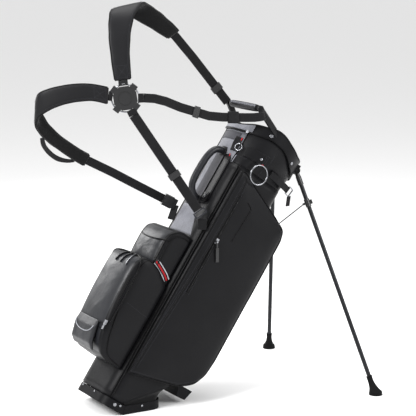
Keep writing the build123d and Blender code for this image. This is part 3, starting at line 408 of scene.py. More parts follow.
# ------------------------------------------------------------------ pockets
# Padded leatherette bags sewn to the tube. Each starts from its CAD solid, whose edges are
# rounded by remeshing; the broad faces of the ball and valuables pockets are also filled out
# as a stuffed pocket's are.
def softened(name, source, voxel, rounds, material, body="bag", swell=0.0):
    """Sewn form over a CAD solid: its mesh remeshed, eased, and filled out a little."""
    made = bpy.data.objects.new(name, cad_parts[source].data.copy())
    bpy.context.scene.collection.objects.link(made)
    made.modifiers.new("cloth_grid", "REMESH").voxel_size = voxel
    ease = made.modifiers.new("eased_edges", "SMOOTH")
    ease.iterations = rounds
    if swell:
        fill = made.modifiers.new("filled_out", "DISPLACE")
        fill.strength = swell
        fill.mid_level = 0
    bpy.context.view_layer.update()
    mesh = bpy.data.meshes.new_from_object(made.evaluated_get(bpy.context.evaluated_depsgraph_get()))
    made.modifiers.clear()
    made.data = mesh
    mesh.materials.clear()
    mesh.materials.append(material)
    mesh.polygons.foreach_set("use_smooth", [True] * len(mesh.polygons))
    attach(made, body)
    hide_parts(source)
    return made


def crowned(made, centre, direction, size_a, size_b, axis_a, axis_b, height):
    """Pushes the broad face outward in a shallow crown, most in its middle."""
    for v in made.data.vertices:
        local = v.co - centre
        a = local.dot(axis_a) / size_a
        b = local.dot(axis_b) / size_b
        if abs(a) < 1 and abs(b) < 1 and v.normal.dot(direction) > 0.3:
            facing = min(1.0, (v.normal.dot(direction) - 0.3) / 0.45)
            v.co += direction * (height * (1 - a * a) * (1 - b * b) * facing)
    bm = bmesh.new()
    bm.from_mesh(made.data)
    for _ in range(25):
        bmesh.ops.smooth_vert(bm, verts=[v for v in bm.verts if v.normal.dot(direction) > 0.75], factor=0.5,
                              use_axis_x=True, use_axis_y=True, use_axis_z=True)
    bm.to_mesh(made.data)
    bm.free()
    made.data.update()


# The same leather with a gloss finish, on the pocket fronts.
gloss_leather, tree, shader = surface("leatherette_charcoal_gloss", "#1a1b1e", 0.36, gleam=0.28)
grain(tree, shader, "#151619", "#212226", 0.36, 800.0, 0.0003)
creased(tree, shader, 12.0, 0.008)
ball_pocket = softened("ball_pocket_body", "ball_pocket", 0.004, 22, leatherette, swell=0.001)
crowned(ball_pocket, at(-190, 0, 280), -M_DIR, 0.085, 0.15, Y_DIR, S_DIR, 0.011)
crowned(ball_pocket, at(-120, -86, 260), -Y_DIR, 0.06, 0.13, M_DIR, S_DIR, 0.005)
crowned(ball_pocket, at(-120, 86, 260), Y_DIR, 0.06, 0.13, M_DIR, S_DIR, 0.005)
ball_pouch = softened("ball_pouch_body", "ball_pouch", 0.003, 14, gloss_leather)
valuables = softened("valuables_pocket_body", "valuables_pocket", 0.004, 20, leatherette, swell=0.0005)
crowned(valuables, at(-143, 0, 470), -M_DIR, 0.08, 0.06, Y_DIR, S_DIR, 0.007)
apparel_near = softened("apparel_pocket_near_body", "apparel_pocket_near", 0.0045, 16, leatherette)
apparel_far = softened("apparel_pocket_far_body", "apparel_pocket_far", 0.0045, 16, leatherette)

# The front faces of ball and valuables pockets are the glossier leather.
for pocket, limit in ((ball_pocket, 0.072), (valuables, 0.066)):
    pocket.data.materials.append(gloss_leather)
    for f in pocket.data.polygons:
        if f.normal.dot(-M_DIR) > 0.62 and abs(f.center.y) < limit:
            f.material_index = 1


def surface_of(made):
    """Search tree of a piece's mesh, for laying seams on it."""
    bm = bmesh.new()
    bm.from_mesh(made.data)
    found = BVHTree.FromBMesh(bm)
    bm.free()
    return found


def laid(tree, points, direction, lift, step=0.004):
    """A route pressed onto a surface along a direction."""
    out = []
    for p in spaced(points, step):
        hit, normal, _, _ = tree.ray_cast(p - direction * 0.15, direction)
        if hit is None:
            hit, normal, _, _ = tree.find_nearest(p)
        out.append(hit + normal * lift)
    return out


def eased(points, rounds=2):
    """A route with its corners evened out."""
    for _ in range(rounds):
        inside = [(a + b * 2 + c) / 4 for a, b, c in zip(points, points[1:], points[2:])]
        points = [points[0]] + inside + [points[-1]]
    return points


# Stitches: small capsules set along a route by Geometry Nodes, then turned into mesh.
stitch_group = bpy.data.node_groups.new("stitch_run", "GeometryNodeTree")
stitch_group.interface.new_socket("Geometry", in_out="INPUT", socket_type="NodeSocketGeometry")
pitch_in = stitch_group.interface.new_socket("Pitch", in_out="INPUT", socket_type="NodeSocketFloat")
size_in = stitch_group.interface.new_socket("Size", in_out="INPUT", socket_type="NodeSocketVector")
paint_in = stitch_group.interface.new_socket("Material", in_out="INPUT", socket_type="NodeSocketMaterial")
stitch_group.interface.new_socket("Geometry", in_out="OUTPUT", socket_type="NodeSocketGeometry")
source = add_node(stitch_group, "NodeGroupInput")
line = add_node(stitch_group, "GeometryNodeMeshToCurve", Mesh=source.outputs["Geometry"])
dots = add_node(stitch_group, "GeometryNodeResampleCurve", {"mode": "LENGTH"},
                Curve=line.outputs["Curve"], Length=source.outputs["Pitch"])
tangent = add_node(stitch_group, "GeometryNodeInputTangent")
turned = add_node(stitch_group, "FunctionNodeAlignRotationToVector", {"axis": "X"},
                  Vector=tangent.outputs["Tangent"])
bead = add_node(stitch_group, "GeometryNodeMeshUVSphere", Segments=8, Rings=5, Radius=0.5)
sized = add_node(stitch_group, "GeometryNodeTransform",
                 Geometry=bead.outputs["Mesh"], Scale=source.outputs["Size"])
placed = add_node(stitch_group, "GeometryNodeInstanceOnPoints", Points=dots.outputs["Curve"],
                  Instance=sized.outputs["Geometry"], Rotation=turned.outputs["Rotation"])
real = add_node(stitch_group, "GeometryNodeRealizeInstances", Geometry=placed.outputs["Instances"])
painted = add_node(stitch_group, "GeometryNodeSetMaterial",
                   Geometry=real.outputs["Geometry"], Material=source.outputs["Material"])
add_node(stitch_group, "NodeGroupOutput", Geometry=painted.outputs["Geometry"])


def stitched(name, routes, pitch, size, material, body="bag"):
    """Stitches along several routes as one mesh piece."""
    verts, edges = [], []
    for route in routes:
        edges += [(len(verts) + i, len(verts) + i + 1) for i in range(len(route) - 1)]
        verts += [tuple(p) for p in route]
    mesh = bpy.data.meshes.new(name)
    mesh.from_pydata(verts, edges, [])
    made = bpy.data.objects.new(name, mesh)
    bpy.context.scene.collection.objects.link(made)
    run = made.modifiers.new("run", "NODES")
    run.node_group = stitch_group
    run[pitch_in.identifier] = pitch
    run[size_in.identifier] = size
    run[paint_in.identifier] = material
    bpy.context.view_layer.update()
    final = bpy.data.meshes.new_from_object(made.evaluated_get(bpy.context.evaluated_depsgraph_get()))
    made.modifiers.clear()
    made.data = final
    final.polygons.foreach_set("use_smooth", [True] * len(final.polygons))
    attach(made, body)
    return made


# Black sewing thread, drawn coarse enough to show.
thread, tree, shader = surface("thread_black", "#2a2b2e", 0.6)
grain(tree, shader, "#2b2b2f", "#3d3d42", 0.6, 2500.0, 0.0001)
# Satin nylon of hub, clamps and strap sliders.
satin, tree, shader = surface("nylon_black_satin", "#161719", 0.33, gleam=0.5)
grain(tree, shader, "#0b0b0c", "#151517", 0.3, 2200.0, 0.0001)
# Length, width and height of one stitch, in metres.
THREAD = (0.0032, 0.0008, 0.0008)
INWARD = Vector((0, 1, 0))
near_tree = surface_of(apparel_near)
far_tree = surface_of(apparel_far)


def sewn_line(tree, line, y, direction, lift, rounds):
    """A side-view line (m, s) pressed onto a surface from the side y, and evened."""
    return eased(laid(tree, [at(m, y, s) for m, s in line], direction, lift), rounds)


def piped(name, route, radius, flat=1.0, stands_for=()):
    """A leather-covered cord sewn along a route."""
    made = piece(name, *tube_along(route, radius, 8, flat), piping_leather, stands_for=stands_for)
    return made


# Apparel pockets, one on each side of the tube: piped all round, with a seam inside the piping.
outline = [
    (-46, 768), (22, 739), (99, 709), (150, 688), (170, 660), (177, 610), (177, 400), (175, 265),
    (166, 214), (146, 178), (115, 155), (80, 141), (-54, 112),
]
front_edge = [(-49, 768), (-50, 600), (-52, 350), (-54, 112)]
seam = [(m - (6 if m > 100 else 0), s - 6) for m, s in outline[:6]]
seam += [(m - 7, s) for m, s in outline[6:9]]
seam += [(m - 4, s + 6) for m, s in outline[9:]]
front_seam = [(m + 5, s) for m, s in front_edge]
for side, tree_used, label in ((-1, near_tree, "near"), (1, far_tree, "far")):
    inwards = Vector((0, -side, 0))
    piped(f"apparel_piping_{label}", sewn_line(tree_used, outline, side * 110, inwards, 0.0008, 3), 0.0022)
    route = sewn_line(tree_used, front_edge, side * 110, inwards, 0.0006, 3)
    piped(f"apparel_front_piping_{label}", route, 0.002)
    routes = [sewn_line(tree_used, line, side * 110, inwards, 0.0002, 2) for line in (seam, front_seam)]
    stitched(f"apparel_stitches_{label}", routes, 0.0046, THREAD, thread)

# Long zip line of the near pocket and the small zip with its welded frame.
main_zip = [(-26, 742), (-25, 560), (-34, 380), (-44, 200), (-47, 136)]
piped("apparel_zip_fold", sewn_line(near_tree, main_zip, -118, INWARD, 0.0001, 3), 0.0017, 0.7)
routes = [sewn_line(near_tree, [(m + d, s) for m, s in main_zip], -118, INWARD, 0.0002, 2) for d in (-6, 6)]
for start, end in (((-26, 384), (-26, 540)), ((-14, 384), (-14, 540)), ((-26, 384), (-14, 384))):
    routes.append(laid(near_tree, [at(m, -118, s) for m, s in (start, end)], INWARD, 0.0002))
stitched("near_zip_stitches", routes, 0.0042, THREAD, thread)
route = laid(near_tree, [at(-20, -118, 392), at(-20, -118, 700)], INWARD, 0.0012, 0.003)
stitched("near_zip_teeth", [route], 0.0021, (0.0013, 0.0042, 0.0016), satin)
# Piped opening of the phone sleeve, parallel to the zip, with a short slanting top.
sleeve = [(22, 575), (24, 610), (26, 650), (27, 682), (18, 688), (8, 694)]
route = laid(near_tree, [at(m, -120, s) for m, s in sleeve], INWARD, 0.0006)
piped("phone_sleeve_edge", route, 0.0014)

# Bright plated rings, snaps, rivets and zip sliders.
bright, tree, shader = surface("bright_plate", "#d6d7da", 0.18, 1.0)
grain(tree, shader, "#77787c", "#929397", 0.24, 1200.0, 0.00003)
# Grey edging of the ball pouch.
grey_trim, tree, shader = surface("trim_grey", "#8d8f94", 0.4)
grain(tree, shader, "#7d7f84", "#9a9ca1", 0.42, 1500.0, 0.0001)

# Ball pocket: piped edges, coil zip over the top and down the near corner, band and grey trim.
ball_tree = surface_of(ball_pocket)
side_rim = [
    (-78, 380), (-105, 398), (-137, 409), (-165, 409), (-178, 395), (-182, 350), (-176, 250), (-168, 200),
    (-158, 160), (-140, 128), (-118, 118), (-80, 112),
]
side_rim = [(m + 4, s) for m, s in side_rim]
for side, label in ((-1, "near"), (1, "far")):
    route = sewn_line(ball_tree, side_rim, side * 90, Vector((0, -side, 0)), 0.0006, 4)
    piped(f"ball_side_piping_{label}", route, 0.0019)
# The coil zip's arch (y, s), over the top and down both front corners.
arch = [
    (-76, 196), (-77, 300), (-74, 350), (-60, 388), (-30, 402), (0, 405),
    (30, 402), (60, 388), (74, 350), (77, 300), (76, 196),
]
route = []
for p in spaced([at(-170, y, s) for y, s in arch], 0.004):
    toward = (at(-120, 0, min(p.dot(S_DIR) * 1000, 340)) - p).normalized()
    hit, normal, _, _ = ball_tree.ray_cast(p - toward * 0.15, toward)
    route.append(hit + normal * 0.0008)
route = eased(route, 4)
parts = []
for spread in (-0.004, 0.004):
    edge_line = []
    for p in route:
        outwards = math.copysign(min(1, abs(p.y) / 0.05), p.y)
        edge_line.append(p + Vector((0, spread * outwards, 0)) - M_DIR * 0.0004)
    parts.append(tube_along(edge_line, 0.0019, 8))
ball_zip_tape = piece("ball_zip_tape", *joined(parts), piping_leather)
coil = [p + (p - at(-120, 0, 260)).normalized() * 0.0016 for p in route]
stitched("ball_zip_teeth", [coil], 0.0021, (0.0013, 0.0044, 0.0018), satin)
band = [(-84, 196), (-50, 193), (0, 191), (50, 193), (84, 196)]
for name, shift in (("ball_band_top", 0), ("ball_band_bottom", -13)):
    route = eased(laid(ball_tree, [at(-230, y, s + shift) for y, s in band], M_DIR, 0.0006), 2)
    piped(name, route, 0.0013)
pouch_tree = surface_of(ball_pouch)
arc = [(-54, 176), (-46, 164), (-20, 155), (20, 155), (46, 164), (54, 176)]
route = eased(laid(pouch_tree, [at(-240, y, s) for y, s in arc], M_DIR, 0.0008), 2)
grey_arc = piece("ball_pouch_trim", *tube_along(route, 0.0013, 8), grey_trim)
routes = [sewn_line(ball_tree, [(-80, 268), (-120, 272), (-160, 276)], -100, INWARD, 0.0002, 1)]
for d in (3, -16):
    routes.append(eased(laid(ball_tree, [at(-230, y * 0.95, s + d) for y, s in band], M_DIR, 0.0004), 1))
stitched("ball_pocket_stitches", routes, 0.0046, THREAD, thread)
# Three slider pulls lie over the top of the ball pocket; the first is bright.
over_the_edge = (M_DIR * 0.8 - S_DIR * 0.6).normalized()
for number, (y, lean_y) in enumerate(((-34, -16), (-14, -4), (6, 6))):
    hang = [at(-181, y, 409), at(-190, y + lean_y * 0.5, 396), at(-199, y + lean_y, 366)]
    route = eased(laid(ball_tree, hang, over_the_edge, 0.002), 2)
    tab = piece(f"ball_pull_{number}", *tube_along(route, 0.0036, 10, 0.4), satin if number else bright)

# Valuables pocket: doubled piping down its edge, and the flap that covers its opening.
value_tree = surface_of(valuables)
value_rim = [(-78, 521), (-100, 523), (-122, 518), (-136, 503), (-141, 478), (-139, 412)]
for side in (-1, 1):
    for number, shift in enumerate((0, 9)):
        line = []
        for m, s in value_rim:
            line.append((m + shift * (1 if m < -110 else 0), s - shift * (1 if m >= -122 else 0.3)))
        route = sewn_line(value_tree, line, side * 90, Vector((0, -side, 0)), 0.0005, 4)
        piped(f"valuables_piping_{'near' if side < 0 else 'far'}_{number}", route, 0.0019)
flap_line = [(-78, 486), (-60, 480), (-30, 476), (0, 475), (30, 476), (60, 480), (78, 486)]
route = eased(laid(value_tree, [at(-200, y, s) for y, s in flap_line], M_DIR, 0.001), 2)
piped("valuables_flap_edge", route, 0.0022)

# Striped ribbon: grey, black, red, black, grey across its width.
ribbon_weave, tree, shader = surface("ribbon_striped", "#801a20", 0.6)
place = add_node(tree, "ShaderNodeTexCoord")
split = add_node(tree, "ShaderNodeSeparateXYZ", Vector=place.outputs["UV"])
ramp = add_node(tree, "ShaderNodeValToRGB", i0=split.outputs[1])
ramp.color_ramp.interpolation = "CONSTANT"
stops = [
    (0.0, "#141416"), (0.08, "#a6a8ad"), (0.2, "#141416"), (0.38, "#8e161b"),
    (0.62, "#141416"), (0.8, "#a6a8ad"), (0.92, "#141416"),
]
while len(ramp.color_ramp.elements) < len(stops):
    ramp.color_ramp.elements.new(0.5)
for element, (position, colour) in zip(ramp.color_ramp.elements, stops):
    element.position = position
    element.color = tone(colour)
tree.links.new(ramp.outputs[0], shader.inputs["Base Color"])
ribs = add_node(tree, "ShaderNodeTexWave", {"bands_direction": "X"}, Vector=place.outputs["UV"], Scale=120.0)
bump = add_node(tree, "ShaderNodeBump", Height=ribs.outputs["Fac"], Strength=0.4, Distance=0.0003)
tree.links.new(bump.outputs[0], shader.inputs["Normal"])
def thickened(made, thickness, name="cloth_thickness"):
    """Gives an open sheet its real thickness."""
    thick = made.modifiers.new(name, "SOLIDIFY")
    thick.thickness = thickness
    return thick


# Woven ribbon on both sides, following its curve between the two pockets.
RIBBON = [(-143, 418), (-118, 408), (-95, 397), (-80, 386)]
for side, label in ((-1, "near"), (1, "far")):
    uv, rows = [], []
    pts = spaced([at(m, side * 83.0, s) for m, s in RIBBON], 0.003)
    for i, p in enumerate(pts):
        ahead = (pts[min(i + 1, len(pts) - 1)] - pts[max(i - 1, 0)]).normalized()
        across = ahead.cross(Vector((0, side, 0))).normalized()
        hit = value_tree.find_nearest(p)[0]
        base = hit + Vector((0, side * 0.0008, 0))
        rows.append([base + across * (0.0105 * (k / 3 - 1)) for k in range(7)])
        uv += [(i * 0.03, k / 6) for k in range(7)]
    stripe = piece(f"striped_ribbon_{label}", *skin(rows, closed=False), ribbon_weave,
                   stands_for=["striped_ribbon"] if side < 0 else (), uv=uv)
    thickened(stripe, 0.0012).offset = 0

# Doubled piping down the front corners of the tube.
cover_tree = surface_of(tube_cover)
for side, label in ((-1, "near"), (1, "far")):
    for number, shift in enumerate((0, 6)):
        route = []
        corner = [at(-63 + shift, side * (87 + shift * 0.6), s) for s in (30, 200, 400, 600, 774)]
        for p in spaced(corner, 0.01):
            hit, normal, _, _ = cover_tree.find_nearest(p)
            route.append(hit + normal * 0.0012)
        piped(f"corner_welt_{label}_{number}", route, 0.0022,
              stands_for=["corner_welts"] if number == 0 and side < 0 else ())

# ------------------------------------------------------------------ front panel, handles
# Sewn panel of open mesh with a silver and a leatherette edge. It carries the padded lift
# handle, and the grab handle above the cuff has a whip-stitched leather grip.
# Open grey mesh of the panel behind the lift handle.
mesh_cloth = woven("panel_mesh_grey", "#252528", "#44444a", 0.6, 300.0, 0.0006)
front_panel = softened("front_panel_body", "front_panel", 0.0022, 3, mesh_cloth)
front_panel.data.materials.append(silver_cloth)
front_panel.data.materials.append(leatherette)
for f in front_panel.data.polygons:
    f.material_index = 1 if f.center.y > 0.029 else (2 if f.center.y < -0.016 else 0)
panel_tree = surface_of(front_panel)
route = laid(panel_tree, [at(-110, -16, s) for s in (640, 700, 790)], M_DIR, 0.0008)
piped("front_panel_piping", route, 0.0017)
# Square leather patch holding a magnet button.
for name, half, low, high, power, finish in (
    ("magnet_patch", 13.0, -80.6, -76.4, 0.35, piping_leather),
    ("magnet_button", 7.0, -82.4, -80.2, 1.0, gloss_leather),
):
    rings = []
    for m, grow in ((high, 1.0), (low + 0.5, 1.0), (low, 0.94), (low - 0.1, 0.6)):
        ring = []
        for a in turns(32):
            y = math.copysign(abs(math.cos(a)) ** power, math.cos(a)) * half * grow
            s_up = math.copysign(abs(math.sin(a)) ** power, math.sin(a)) * half * grow
            ring.append(at(m, -38 + y, 655 + s_up))
        rings.append(ring)
    magnet = piece(name, *skin(rings), finish)
# Silver cloth facing round the strap anchor below the lift handle.
rows = []
for k in range(15):
    s = 534 + 86 * k / 14
    near, far = -60 + k * 3.2, 60
    row = []
    for j in range(21):
        row.append(at(-71.9 - 0.5 * math.sin(math.pi * j / 20), near + (far - near) * j / 20, s))
    rows.append(row)
facing_cloth = piece("anchor_facing", *skin(rows, closed=False), silver_cloth)
thickened(facing_cloth, 0.0008)
LIFT = [
    (-76, 798), (-92, 796), (-106, 786), (-115, 765), (-119, 735), (-119, 690), (-113, 665),
    (-100, 650), (-88, 644), (-76, 641),
]
pts = spaced([at(m, 0, s) for m, s in LIFT], 0.004)
lift_mesh = tube_along(pts, lambda t: 0.0092 + 0.0016 * math.sin(math.pi * t), 20, 0.9, Y_DIR)
lift_handle = piece("lift_handle_grip", *lift_mesh, gloss_leather, stands_for=["lift_handle"])
inner_seam = []
for i, p in enumerate(pts[3:-3]):
    ahead = (pts[i + 4] - pts[i + 2]).normalized()
    inner_seam.append(p + ahead.cross(Y_DIR).normalized() * 0.0002 - Y_DIR * 0.0098)
stitched("lift_handle_stitches", [inner_seam], 0.0044, THREAD, thread)
for number, (s0, s1) in enumerate(((786, 812), (628, 652))):
    rows = []
    for k in range(9):
        s = s0 + (s1 - s0) * k / 8
        m = -76.8 if s < 790 else -77.5 - (s - 790) * 0.16
        half = 17 - 3 * abs(k - 4) / 4
        rows.append([
            at(m - 2.2 * math.cos(math.pi * j / 16 - math.pi / 2), half * (j / 8 - 1), s) for j in range(17)
        ])
    foot = piece(f"lift_handle_foot_{number}", *skin(rows, closed=False), leatherette)
    thickened(foot, 0.0024, "leather_thickness")

# Matte leather of the shoulder pads.
pad_leather, tree, shader = surface("pad_leather_matte", "#0d0d0f", 0.46, gleam=0.18)
grain(tree, shader, "#09090b", "#141417", 0.48, 1000.0, 0.0003)
# Grey thread of the grip's whipping.
grey_thread, tree, shader = surface("thread_grey", "#85868c", 0.6)
grain(tree, shader, "#75767c", "#94959b", 0.6, 2500.0, 0.0001)

# Whip-stitched leather grip on the grab handle, slightly barrelled.
grip_start, grip_end = at(-90, -70, 944), at(-90, 70, 944)
pts = [grip_start + (grip_end - grip_start) * (i / 40) for i in range(41)]
grip_mesh = tube_along(pts, lambda t: 0.0098 + 0.0013 * math.sin(math.pi * t) ** 0.5, 24)
grip = piece("handle_grip_leather", *grip_mesh, pad_leather, stands_for=["handle_grip"])
facing = (M_DIR * -0.98 + S_DIR * 0.2).normalized()
cross = Y_DIR.cross(facing)
parts = []
for i in range(27):
    t = (i + 0.5) / 27
    base = grip_start + (grip_end - grip_start) * t
    radius = 0.0101 + 0.0013 * math.sin(math.pi * t) ** 0.5
    route = []
    for k in (-1, -0.5, 0, 0.5, 1):
        around = facing * math.cos(0.3 * k) + cross * math.sin(0.3 * k)
        route.append(base + Y_DIR * (0.0016 * k) + around * radius)
    parts.append(tube_along(route, 0.0009, 6))
whip = piece("handle_grip_whipping", *joined(parts), grey_thread)

# ------------------------------------------------------------------ harness
# Two foam pads and four webbing straps meet at a moulded hub. The pads are leather outside
# and spacer mesh inside, with a rolled edge, and are box-stitched to their hub loops.
# Flat woven harness webbing, pattern follows the strap.
webbing = woven("webbing_black", "#040405", "#111113", 0.72, 260.0, 0.0004, "UV")
# Open spacer mesh inside the pads.
pad_mesh = woven("pad_spacer_mesh", "#020203", "#0a0a0b", 0.85, 300.0, 0.0008, "UV")

# Each row: centre (m, y, s), direction across, width in millimetres.
PAD_UPPER = [
    ((-463, 12, 804), (0.66, -0.48, 0.58), 46), ((-499, 23, 855), (0.70, -0.48, 0.53), 51),
    ((-526, 38, 905), (0.76, -0.44, 0.48), 59), ((-539, 55, 949), (0.76, -0.35, 0.55), 68),
    ((-537, 72, 980), (0.73, -0.24, 0.63), 82), ((-524, 88, 1001), (0.70, -0.15, 0.70), 92),
    ((-493, 101, 1009), (0.67, -0.15, 0.72), 88), ((-451, 103, 1015), (0.62, -0.13, 0.77), 72),
    ((-399, 104, 1017), (0.47, -0.07, 0.88), 54), ((-349, 105, 1016), (0.38, -0.05, 0.92), 42),
]
PAD_LEFT = [
    ((-472, 24, 747), (-0.43, 0.14, 0.89), 46), ((-509, 46, 733), (-0.52, 0.19, 0.83), 46),
    ((-539, 65, 712), (-0.56, 0.22, 0.80), 49), ((-562, 82, 690), (-0.64, 0.28, 0.71), 51),
    ((-580, 99, 667), (-0.70, 0.32, 0.64), 54), ((-590, 117, 645), (-0.66, 0.28, 0.70), 57),
    ((-588, 136, 626), (-0.50, 0.14, 0.85), 60), ((-571, 150, 609), (-0.42, 0.04, 0.91), 62),
    ((-545, 155, 596), (-0.41, 0.03, 0.91), 56), ((-509, 156, 585), (-0.40, 0.04, 0.92), 46),
    ((-466, 151, 579), (-0.34, 0.02, 0.94), 38), ((-412, 141, 576), (-0.22, -0.08, 0.97), 36),
    ((-376, 133, 577), (-0.10, -0.16, 0.98), 36),
]


def strap_frames(route, step, square=False):
    """Centre, across and face directions and width every step along a strap route."""
    fine = []
    for i in range(len(route) - 1):
        (c1, a1, w1), (c2, a2, w2) = route[i], route[i + 1]
        c0 = route[max(i - 1, 0)][0]
        c3 = route[min(i + 2, len(route) - 1)][0]
        p0, p1, p2, p3 = (at(*c) for c in (c0, c1, c2, c3))
        count = max(2, int((p2 - p1).length / step))
        for k in range(count + (i == len(route) - 2)):
            t = k / count
            p = p1.lerp(p2, t) if square else curve_point(p0, p1, p2, p3, t)
            ease = t * t * (3 - 2 * t)
            fine.append((p, way(*a1).lerp(way(*a2), ease).normalized(), (w1 + (w2 - w1) * ease) / 1000))
    out = []
    for i, (p, across, width) in enumerate(fine):
        ahead = (fine[min(i + 1, len(fine) - 1)][0] - fine[max(i - 1, 0)][0]).normalized()
        if square:
            across = (across - ahead * ahead.dot(across)).normalized()
        out.append((p, across, ahead.cross(across).normalized(), width))
    return out


def pad(name, route, source, thick=0.013):
    """Foam pad: leather outside, ribbed spacer mesh inside, edges rolled."""
    frames = strap_frames(route, 0.005)
    sides = 40
    rings, uv = [], []
    run = 0.0
    for i, (p, across, face, width) in enumerate(frames):
        if i:
            run += (p - frames[i - 1][0]).length
        end = min(i, len(frames) - 1 - i)
        taper = [0.45, 0.72, 0.88, 0.96][end] if end < 4 else 1.0
        ring = []
        for k in range(sides):
            t = 2 * math.pi * k / sides
            c, s = math.cos(t), math.sin(t)
            x = math.copysign(abs(c) ** 0.55, c)
            z = math.copysign(abs(s) ** 0.62, s)
            ribs = 0.0012 * abs(math.sin(2.5 * math.pi * (x + 1))) * (1 - x ** 6) if s > 0 else 0.0
            half = x * width / 2 * (0.94 + 0.06 * taper)
            ring.append(p + across * half + face * (z * thick / 2 * taper - ribs))
            uv.append((run * 4, k / sides * 0.5))
        rings.append(ring)
    verts, faces = skin(rings)
    slots = [1 if (f[0] % sides) < sides // 2 else 0 for f in faces]
    made = piece(name, verts, faces, [pad_leather, pad_mesh], stands_for=[source], uv=uv, slots=slots)
    edges, lines = [], []
    for sign in (-1, 1):
        path = [
            p + across * (sign * width / 2 * 0.985) - face * 0.0026 for p, across, face, width in frames[1:-1]
        ]
        edges.append(tube_along(path, 0.0017, 8))
        lines.append([
            p + across * (sign * (width / 2 - 0.0065)) - face * (thick / 2 - 0.0001)
            for p, across, face, width in frames[3:-3]
        ])
    rolled = piece(f"{name}_piping", *joined(edges), piping_leather)

    def spot(u, v):
        """Point on the pad's face, u along it from the hub and v across."""
        k = min(len(frames) - 2, int(u / 0.005))
        p, across, face, _ = frames[k]
        return p + across * v - face * (thick / 2 + 0.0001)

    # Boxed cross of stitches where the pad is sewn to its hub loop.
    box_a, box_b, half = 0.014, 0.042, 0.014
    box = [(box_a, -half), (box_b, -half), (box_b, half), (box_a, half), (box_a, -half)]
    cross = [((box_a, -half), (box_b, half)), ((box_a, half), (box_b, -half))]
    for start, end in list(zip(box, box[1:])) + cross:
        lines.append([spot(*start), spot(*end)])
    stitched(f"{name}_stitches", lines, 0.0044, THREAD, thread)


pad("shoulder_pad_upper", PAD_UPPER, "strap_pad_upper")
pad("shoulder_pad_left", PAD_LEFT, "strap_pad_left")

# Runs of webbing: centre (m, y, s), direction across, width in millimetres.
UP, LEFT, RIGHT, LOW = (0.42, -0.16, 0.89), (-0.08, -0.10, 0.99), (-0.43, 0.13, 0.89), (0.37, -0.345, 0.86)
STRAPS = {
    "strap_upper": [[
        ((-360, 104.6, 1016), UP, 26), ((-347, 104.5, 1015.5), UP, 26), ((-265, 92, 991), UP, 26),
        ((-193, 82.6, 967.4), UP, 26), ((-105, 71, 938.5), UP, 26),
    ]],
    "strap_lower_left": [[
        ((-384, 134, 577), LEFT, 25), ((-297, 119, 586), LEFT, 25), ((-212, 104.5, 592), LEFT, 25),
        ((-123, 90.5, 599), LEFT, 25),
    ], [
        ((-518, 165, 566), (0.30, -0.80, 0.55), 14), ((-502, 164, 550), (0.35, -0.79, 0.50), 16),
        ((-474, 160, 540), (0.25, -0.70, 0.66), 17), ((-446, 154, 539), (0.0, -0.55, 0.83), 17),
        ((-420, 150, 548), (-0.1, -0.48, 0.87), 14), ((-402, 147, 560), (-0.1, -0.45, 0.88), 12),
    ]],
    "strap_right": [[
        ((-397, -23, 790), (-0.46, 0.16, 0.87), 25.4), ((-372, -32.5, 804), (-0.44, 0.14, 0.88), 25.4),
        ((-341, -40, 814), RIGHT, 25.4), ((-297, -49, 822), RIGHT, 25.4), ((-213, -66.4, 845.4), RIGHT, 25.4),
        ((-178, -74, 863), RIGHT, 25.4), ((-120, -86, 897), RIGHT, 25.4), ((-98, -93, 911), RIGHT, 25.4),
        ((-84, -97.5, 922), RIGHT, 25.4), ((-72, -99, 932), RIGHT, 24),
    ]],
    "strap_lower": [[((-394, -15.4, 735.1), LOW, 27.5), ((-111, -95, 601), LOW, 27.5)]],
}
# Webbing: flat woven straps with a soft round edge, stitched along both edges.
for source_name, runs in STRAPS.items():
    parts, uv, lines = [], [], []
    for route in runs:
        # Only the six-point keeper strap is bent; the others lie straight between their points.
        frames = strap_frames(route, 0.006, square=len(route) != 6)
        rings, run = [], 0.0
        for i, (p, across, face, width) in enumerate(frames):
            if i:
                run += (p - frames[i - 1][0]).length
            ring = []
            for t in turns(16):
                c, s = math.cos(t), math.sin(t)
                x = math.copysign(abs(c) ** 0.4, c)
                ring.append(p + across * (x * width / 2) + face * (0.0011 * math.copysign(abs(s) ** 0.5, s)))
                uv.append((run, 0.5 * x * width))
            rings.append(ring)
        parts.append(skin(rings))
        for sign in (-1, 1):
            for side in (-1, 1):
                lines.append([
                    p + across * (sign * (width / 2 - 0.0022)) + face * (side * 0.0011)
                    for p, across, face, width in frames[1:-1]
                ])
    verts, faces = joined(parts)
    made = piece(source_name + "_webbing", verts, faces, webbing, stands_for=[source_name], uv=uv)
    stitched(source_name + "_edges", lines, 0.0032, (0.0022, 0.0005, 0.0005), thread)

# Woven loop round the near arm of the grab handle, where the right strap ends.
arm_low, arm_high = at(4, -111, 898), at(-90, -86, 944)
arm = (arm_high - arm_low).normalized()
wrap_path = [arm_low.lerp(arm_high, t) for t in (0.7, 0.71, 0.78, 0.86, 0.92, 0.93)]
wrap_rings, wrap_uv = [], []
for i, (p, r) in enumerate(zip(wrap_path, (0.0066, 0.0078, 0.0084, 0.0084, 0.0078, 0.0066))):
    side = arm.cross(S_DIR).normalized()
    up = side.cross(arm)
    wrap_rings.append([p + side * (math.cos(a) * r) + up * (math.sin(a) * r) for a in turns(28)])
    wrap_uv += [(k * 0.0018, i * 0.006) for k in range(28)]
arm_wrap = piece("bail_strap_wrap", *skin(wrap_rings), webbing, uv=wrap_uv)

